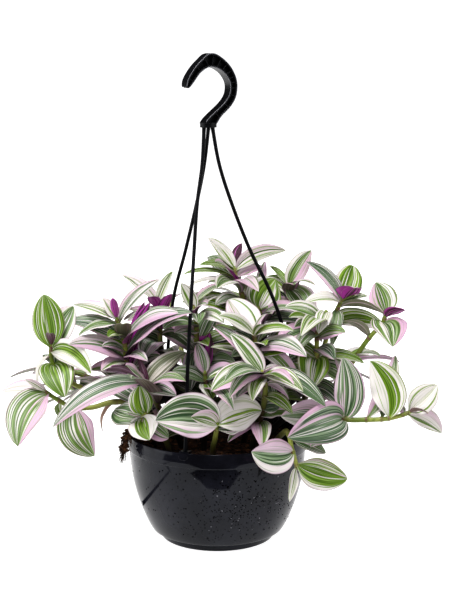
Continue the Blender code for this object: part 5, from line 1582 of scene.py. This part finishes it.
class PlantMesh:
    # Gathers the leaves and the stem of one shoot, with the values that their materials read
    names = ["across", "along", "leafSeed", "leafGreen", "leafPink", "leafDark", "leafEdge", "leafSide",
             "leafUnder", "leafAged"]

    def __init__(self):
        self.verts = []
        self.faces = []
        self.skins = []
        self.values = {name: [] for name in self.names + ["leafShade"]}
        self.count = 0

    def take(self, verts, faces, skins, across, along, seed, look):
        self.verts.append(np.asarray(verts, dtype=float))
        self.faces += [[self.count + corner for corner in face] for face in faces]
        self.skins += skins
        total = len(verts)
        self.values["across"].append(across)
        self.values["along"].append(along)
        for name, value in zip(self.names[2:], (seed, *look)):
            self.values[name].append(np.full(total, value))
        # painted shade, by how deep in the plant each point lies
        self.values["leafShade"].append(paintedShadeAmount(self.verts[-1]))
        self.count += total

    def build(self, name, node):
        mesh = bpy.data.meshes.new(name)
        verts = np.concatenate(self.verts) * mm
        mesh.from_pydata(verts.tolist(), [], self.faces)
        for material in (leafTop, leafUnder, stemSkin):
            mesh.materials.append(material)
        mesh.polygons.foreach_set("material_index", self.skins)
        for key, parts in self.values.items():
            note = mesh.attributes.new(key, "FLOAT", "POINT")
            note.data.foreach_set("value", np.concatenate(parts).astype(np.float32))
        finished(mesh, [node], 62.0)


def stemShape(shoot, spots):
    # The round stem with a ring at each leaf, and how near each point is to a ring
    curve, radii = stemEnd(shoot)
    last = len(curve) - 1
    finer = plant["stemFiner"]
    points = []
    sizes = []
    rings = []
    for index in range(last * finer + 1):
        place = index / finer
        base = min(int(place), last - 1)
        points.append(catmull(curve, place))
        size = radii[base] + (radii[base + 1] - radii[base]) * (place - base)
        if place > last - 1:
            size = radii[last - 1] * math.sqrt(max(0.0, 1.0 - (place - last + 1) ** 2))
        gap = min([abs(place - spot) for spot in spots] + [9.0])
        ring = math.exp(-(gap / plant["ringWide"]) ** 2)
        thick = size * plant["stemSkin"] + plant["ringThick"] * ring
        sizes.append(0.0 if index == last * finer else thick)
        rings.append(ring)
    sides = plant["fineSides"]
    verts, faces = tubeShape(points, sizes, sides)
    across = np.append(np.repeat(rings[:-1], sides), rings[-1])
    along = np.append(np.repeat(np.linspace(0.0, 1.0, len(points))[:-1], sides), 1.0)
    return verts, faces, across, along


def makePlant():
    stems = {**shoots, **backShoots()}
    placed = placeLeaves(stems)
    draw = random.Random(plant["seed"])
    jitter = plant["jitter"]
    age, fall = plant["stemAgeAndShade"]
    for name, shoot in stems.items():
        mesh = PlantMesh()
        verts, faces, across, along = stemShape(shoot, [leaf[4] for leaf in placed[name]])
        # a stem is oldest where it leaves the soil, and its darkening there is partly painted shade at the
        # soil line
        aged = np.clip(age - along * fall, 0.0, 1.0)
        mesh.take(verts, faces, [2] * len(faces), across, along, draw.random(),
                  (*plant["stemLook"], aged))
        for rib, face, width, look, _ in placed[name]:
            verts, across, along = fineLeaf(rib, face, width, draw)
            values = [min(1.0, max(0.0, value + draw.uniform(-jitter, jitter))) for value in looks[look][:4]]
            pinkSide = looks[look][4] * draw.choice((-1.0, 1.0))
            mesh.take(verts, *bladeGrid, across, along, draw.random(), (*values, pinkSide, *looks[look][5:]))
            # this draw sets nothing, but the leaves after it count on it
            draw.random()
        mesh.build(name + "_fine", name)


makePlant()
print("plant made")


# Floor, light and background
# The near edge is out of view, but the pot's gloss mirrors it
floorSizes = {
    "wide": 3.0, "far": 6.0, "glow": 0.72, "glowStart": 0.35, "glowEnd": 1.1, "unseen": 0.65,
    "height": -0.0002, "flagHeight": 0.0006, "tones": (0.62, 0.64),
    "nearEdge": [(-3.0, -1.35), (-0.371, -0.17), (-0.29, -0.215), (-0.201, -0.28), (-0.075, -0.223),
                 (-0.037, -0.19), (0.041, -0.186), (0.106, -0.253), (0.231, -0.3), (0.306, -0.266),
                 (3.0, -2.6)],
    "flag": [(-0.258, -0.2), (-0.096, 0.040), (-0.105, 0.046), (-0.272, -0.204)],
}


def grey(level):
    return (level, level, level, 1.0)


def flatPiece(name, outline, height, material):
    mesh = bpy.data.meshes.new(name)
    mesh.from_pydata([(x, y, height) for x, y in outline], [], [list(range(len(outline)))])
    mesh.materials.append(material)
    item = linked(name, mesh)
    return item


def makeFloor():
    paint = Paint("paleFloor", Roughness=0.7, Specular_IOR_Level=0.2, Emission_Strength=1.0)
    where = paint.place()
    tone = paint.grain(where, 3.0, 1.0)
    # the floor glows white further out, so that it runs into the background
    away = paint.add("ShaderNodeVectorMath", {"operation": "LENGTH"}, output="Value", n0=where)
    glow = paint.ease(away, floorSizes["glowStart"], floorSizes["glowEnd"], floorSizes["glow"], 1.0)
    bounced = paint.add("ShaderNodeLightPath", output="Is Diffuse Ray")
    glow = glow * (1.0 - bounced * floorSizes["unseen"])
    dull, bright = floorSizes["tones"]
    paint.feed(Base_Color=paint.blend(tone, grey(dull), grey(bright)),
               Emission_Color=paint.blend(glow, grey(0.0), grey(1.0)))
    wide, far = floorSizes["wide"], floorSizes["far"]
    outline = floorSizes["nearEdge"] + [(wide, far), (-wide, far)]
    flatPiece("floor", outline, floorSizes["height"], paint.material)
    # a black flag that only reflections see
    black = Paint("blackFlag", Base_Color=grey(0.0), Specular_IOR_Level=0.0)
    flag = flatPiece("flag", floorSizes["flag"], floorSizes["flagHeight"], black.material)
    flag.visible_camera = False
    flag.visible_diffuse = False
    flag.visible_shadow = False


# A level lamp shines straight across, and the others aim at the plant
lampAim = (0.0, 0.0, 0.16)
lamps = {
    "leftBox": {"place": (-1.05, -0.12, 0.62), "size": (1.15, 1.2), "power": 6.0, "level": True},
    "rightBox": {"place": (0.98, -0.30, 0.62), "size": (1.25, 1.2), "power": 4.0, "level": True},
    "topBox": {"place": (-0.25, -0.45, 1.35), "size": (0.7, 0.6), "power": 18.0},
    "frontBox": {"place": (-0.3, -1.9, 0.6), "size": (1.0, 0.7), "power": 15.0, "mirrored": False},
    "backBox": {"place": (0.3, 1.8, 0.8), "size": (1.2, 0.8), "power": 12.0, "mirrored": False},
}
studio = {"seen": 1.0, "unseen": 0.16, "lessInGloss": 0.14}


def makeLamps():
    for name, lamp in lamps.items():
        data = bpy.data.lights.new(name, "AREA")
        data.shape = "RECTANGLE"
        data.size, data.size_y = lamp["size"]
        data.energy = lamp["power"]
        item = linked(name, data)
        item.location = lamp["place"]
        item.visible_glossy = lamp.get("mirrored", True)
        target = Vector(lampAim) - Vector(lamp["place"])
        if lamp.get("level"):
            target.z = 0.0
        item.rotation_euler = target.to_track_quat("-Z", "Y").to_euler()


def makeWorld():
    # White where the camera looks, dimmer in its light and dimmer still in reflections
    world = bpy.data.worlds.new("studio")
    world.use_nodes = True
    bpy.context.scene.world = world
    nodes = Nodes(world.node_tree)
    seen = nodes.add("ShaderNodeLightPath", output="Is Camera Ray")
    shiny = nodes.add("ShaderNodeLightPath", output="Is Glossy Ray")
    unseen = studio["unseen"] - shiny * studio["lessInGloss"]
    background = nodes.tree.nodes["Background"]
    plug(nodes.tree, background.inputs["Color"], grey(1.0))
    plug(nodes.tree, background.inputs["Strength"], seen * studio["seen"] + (1.0 - seen) * unseen)


makeFloor()
makeLamps()
makeWorld()
bpy.context.scene.view_settings.view_transform = "Standard"
bpy.context.scene.view_settings.look = "Medium High Contrast"
print("floor and lights set")
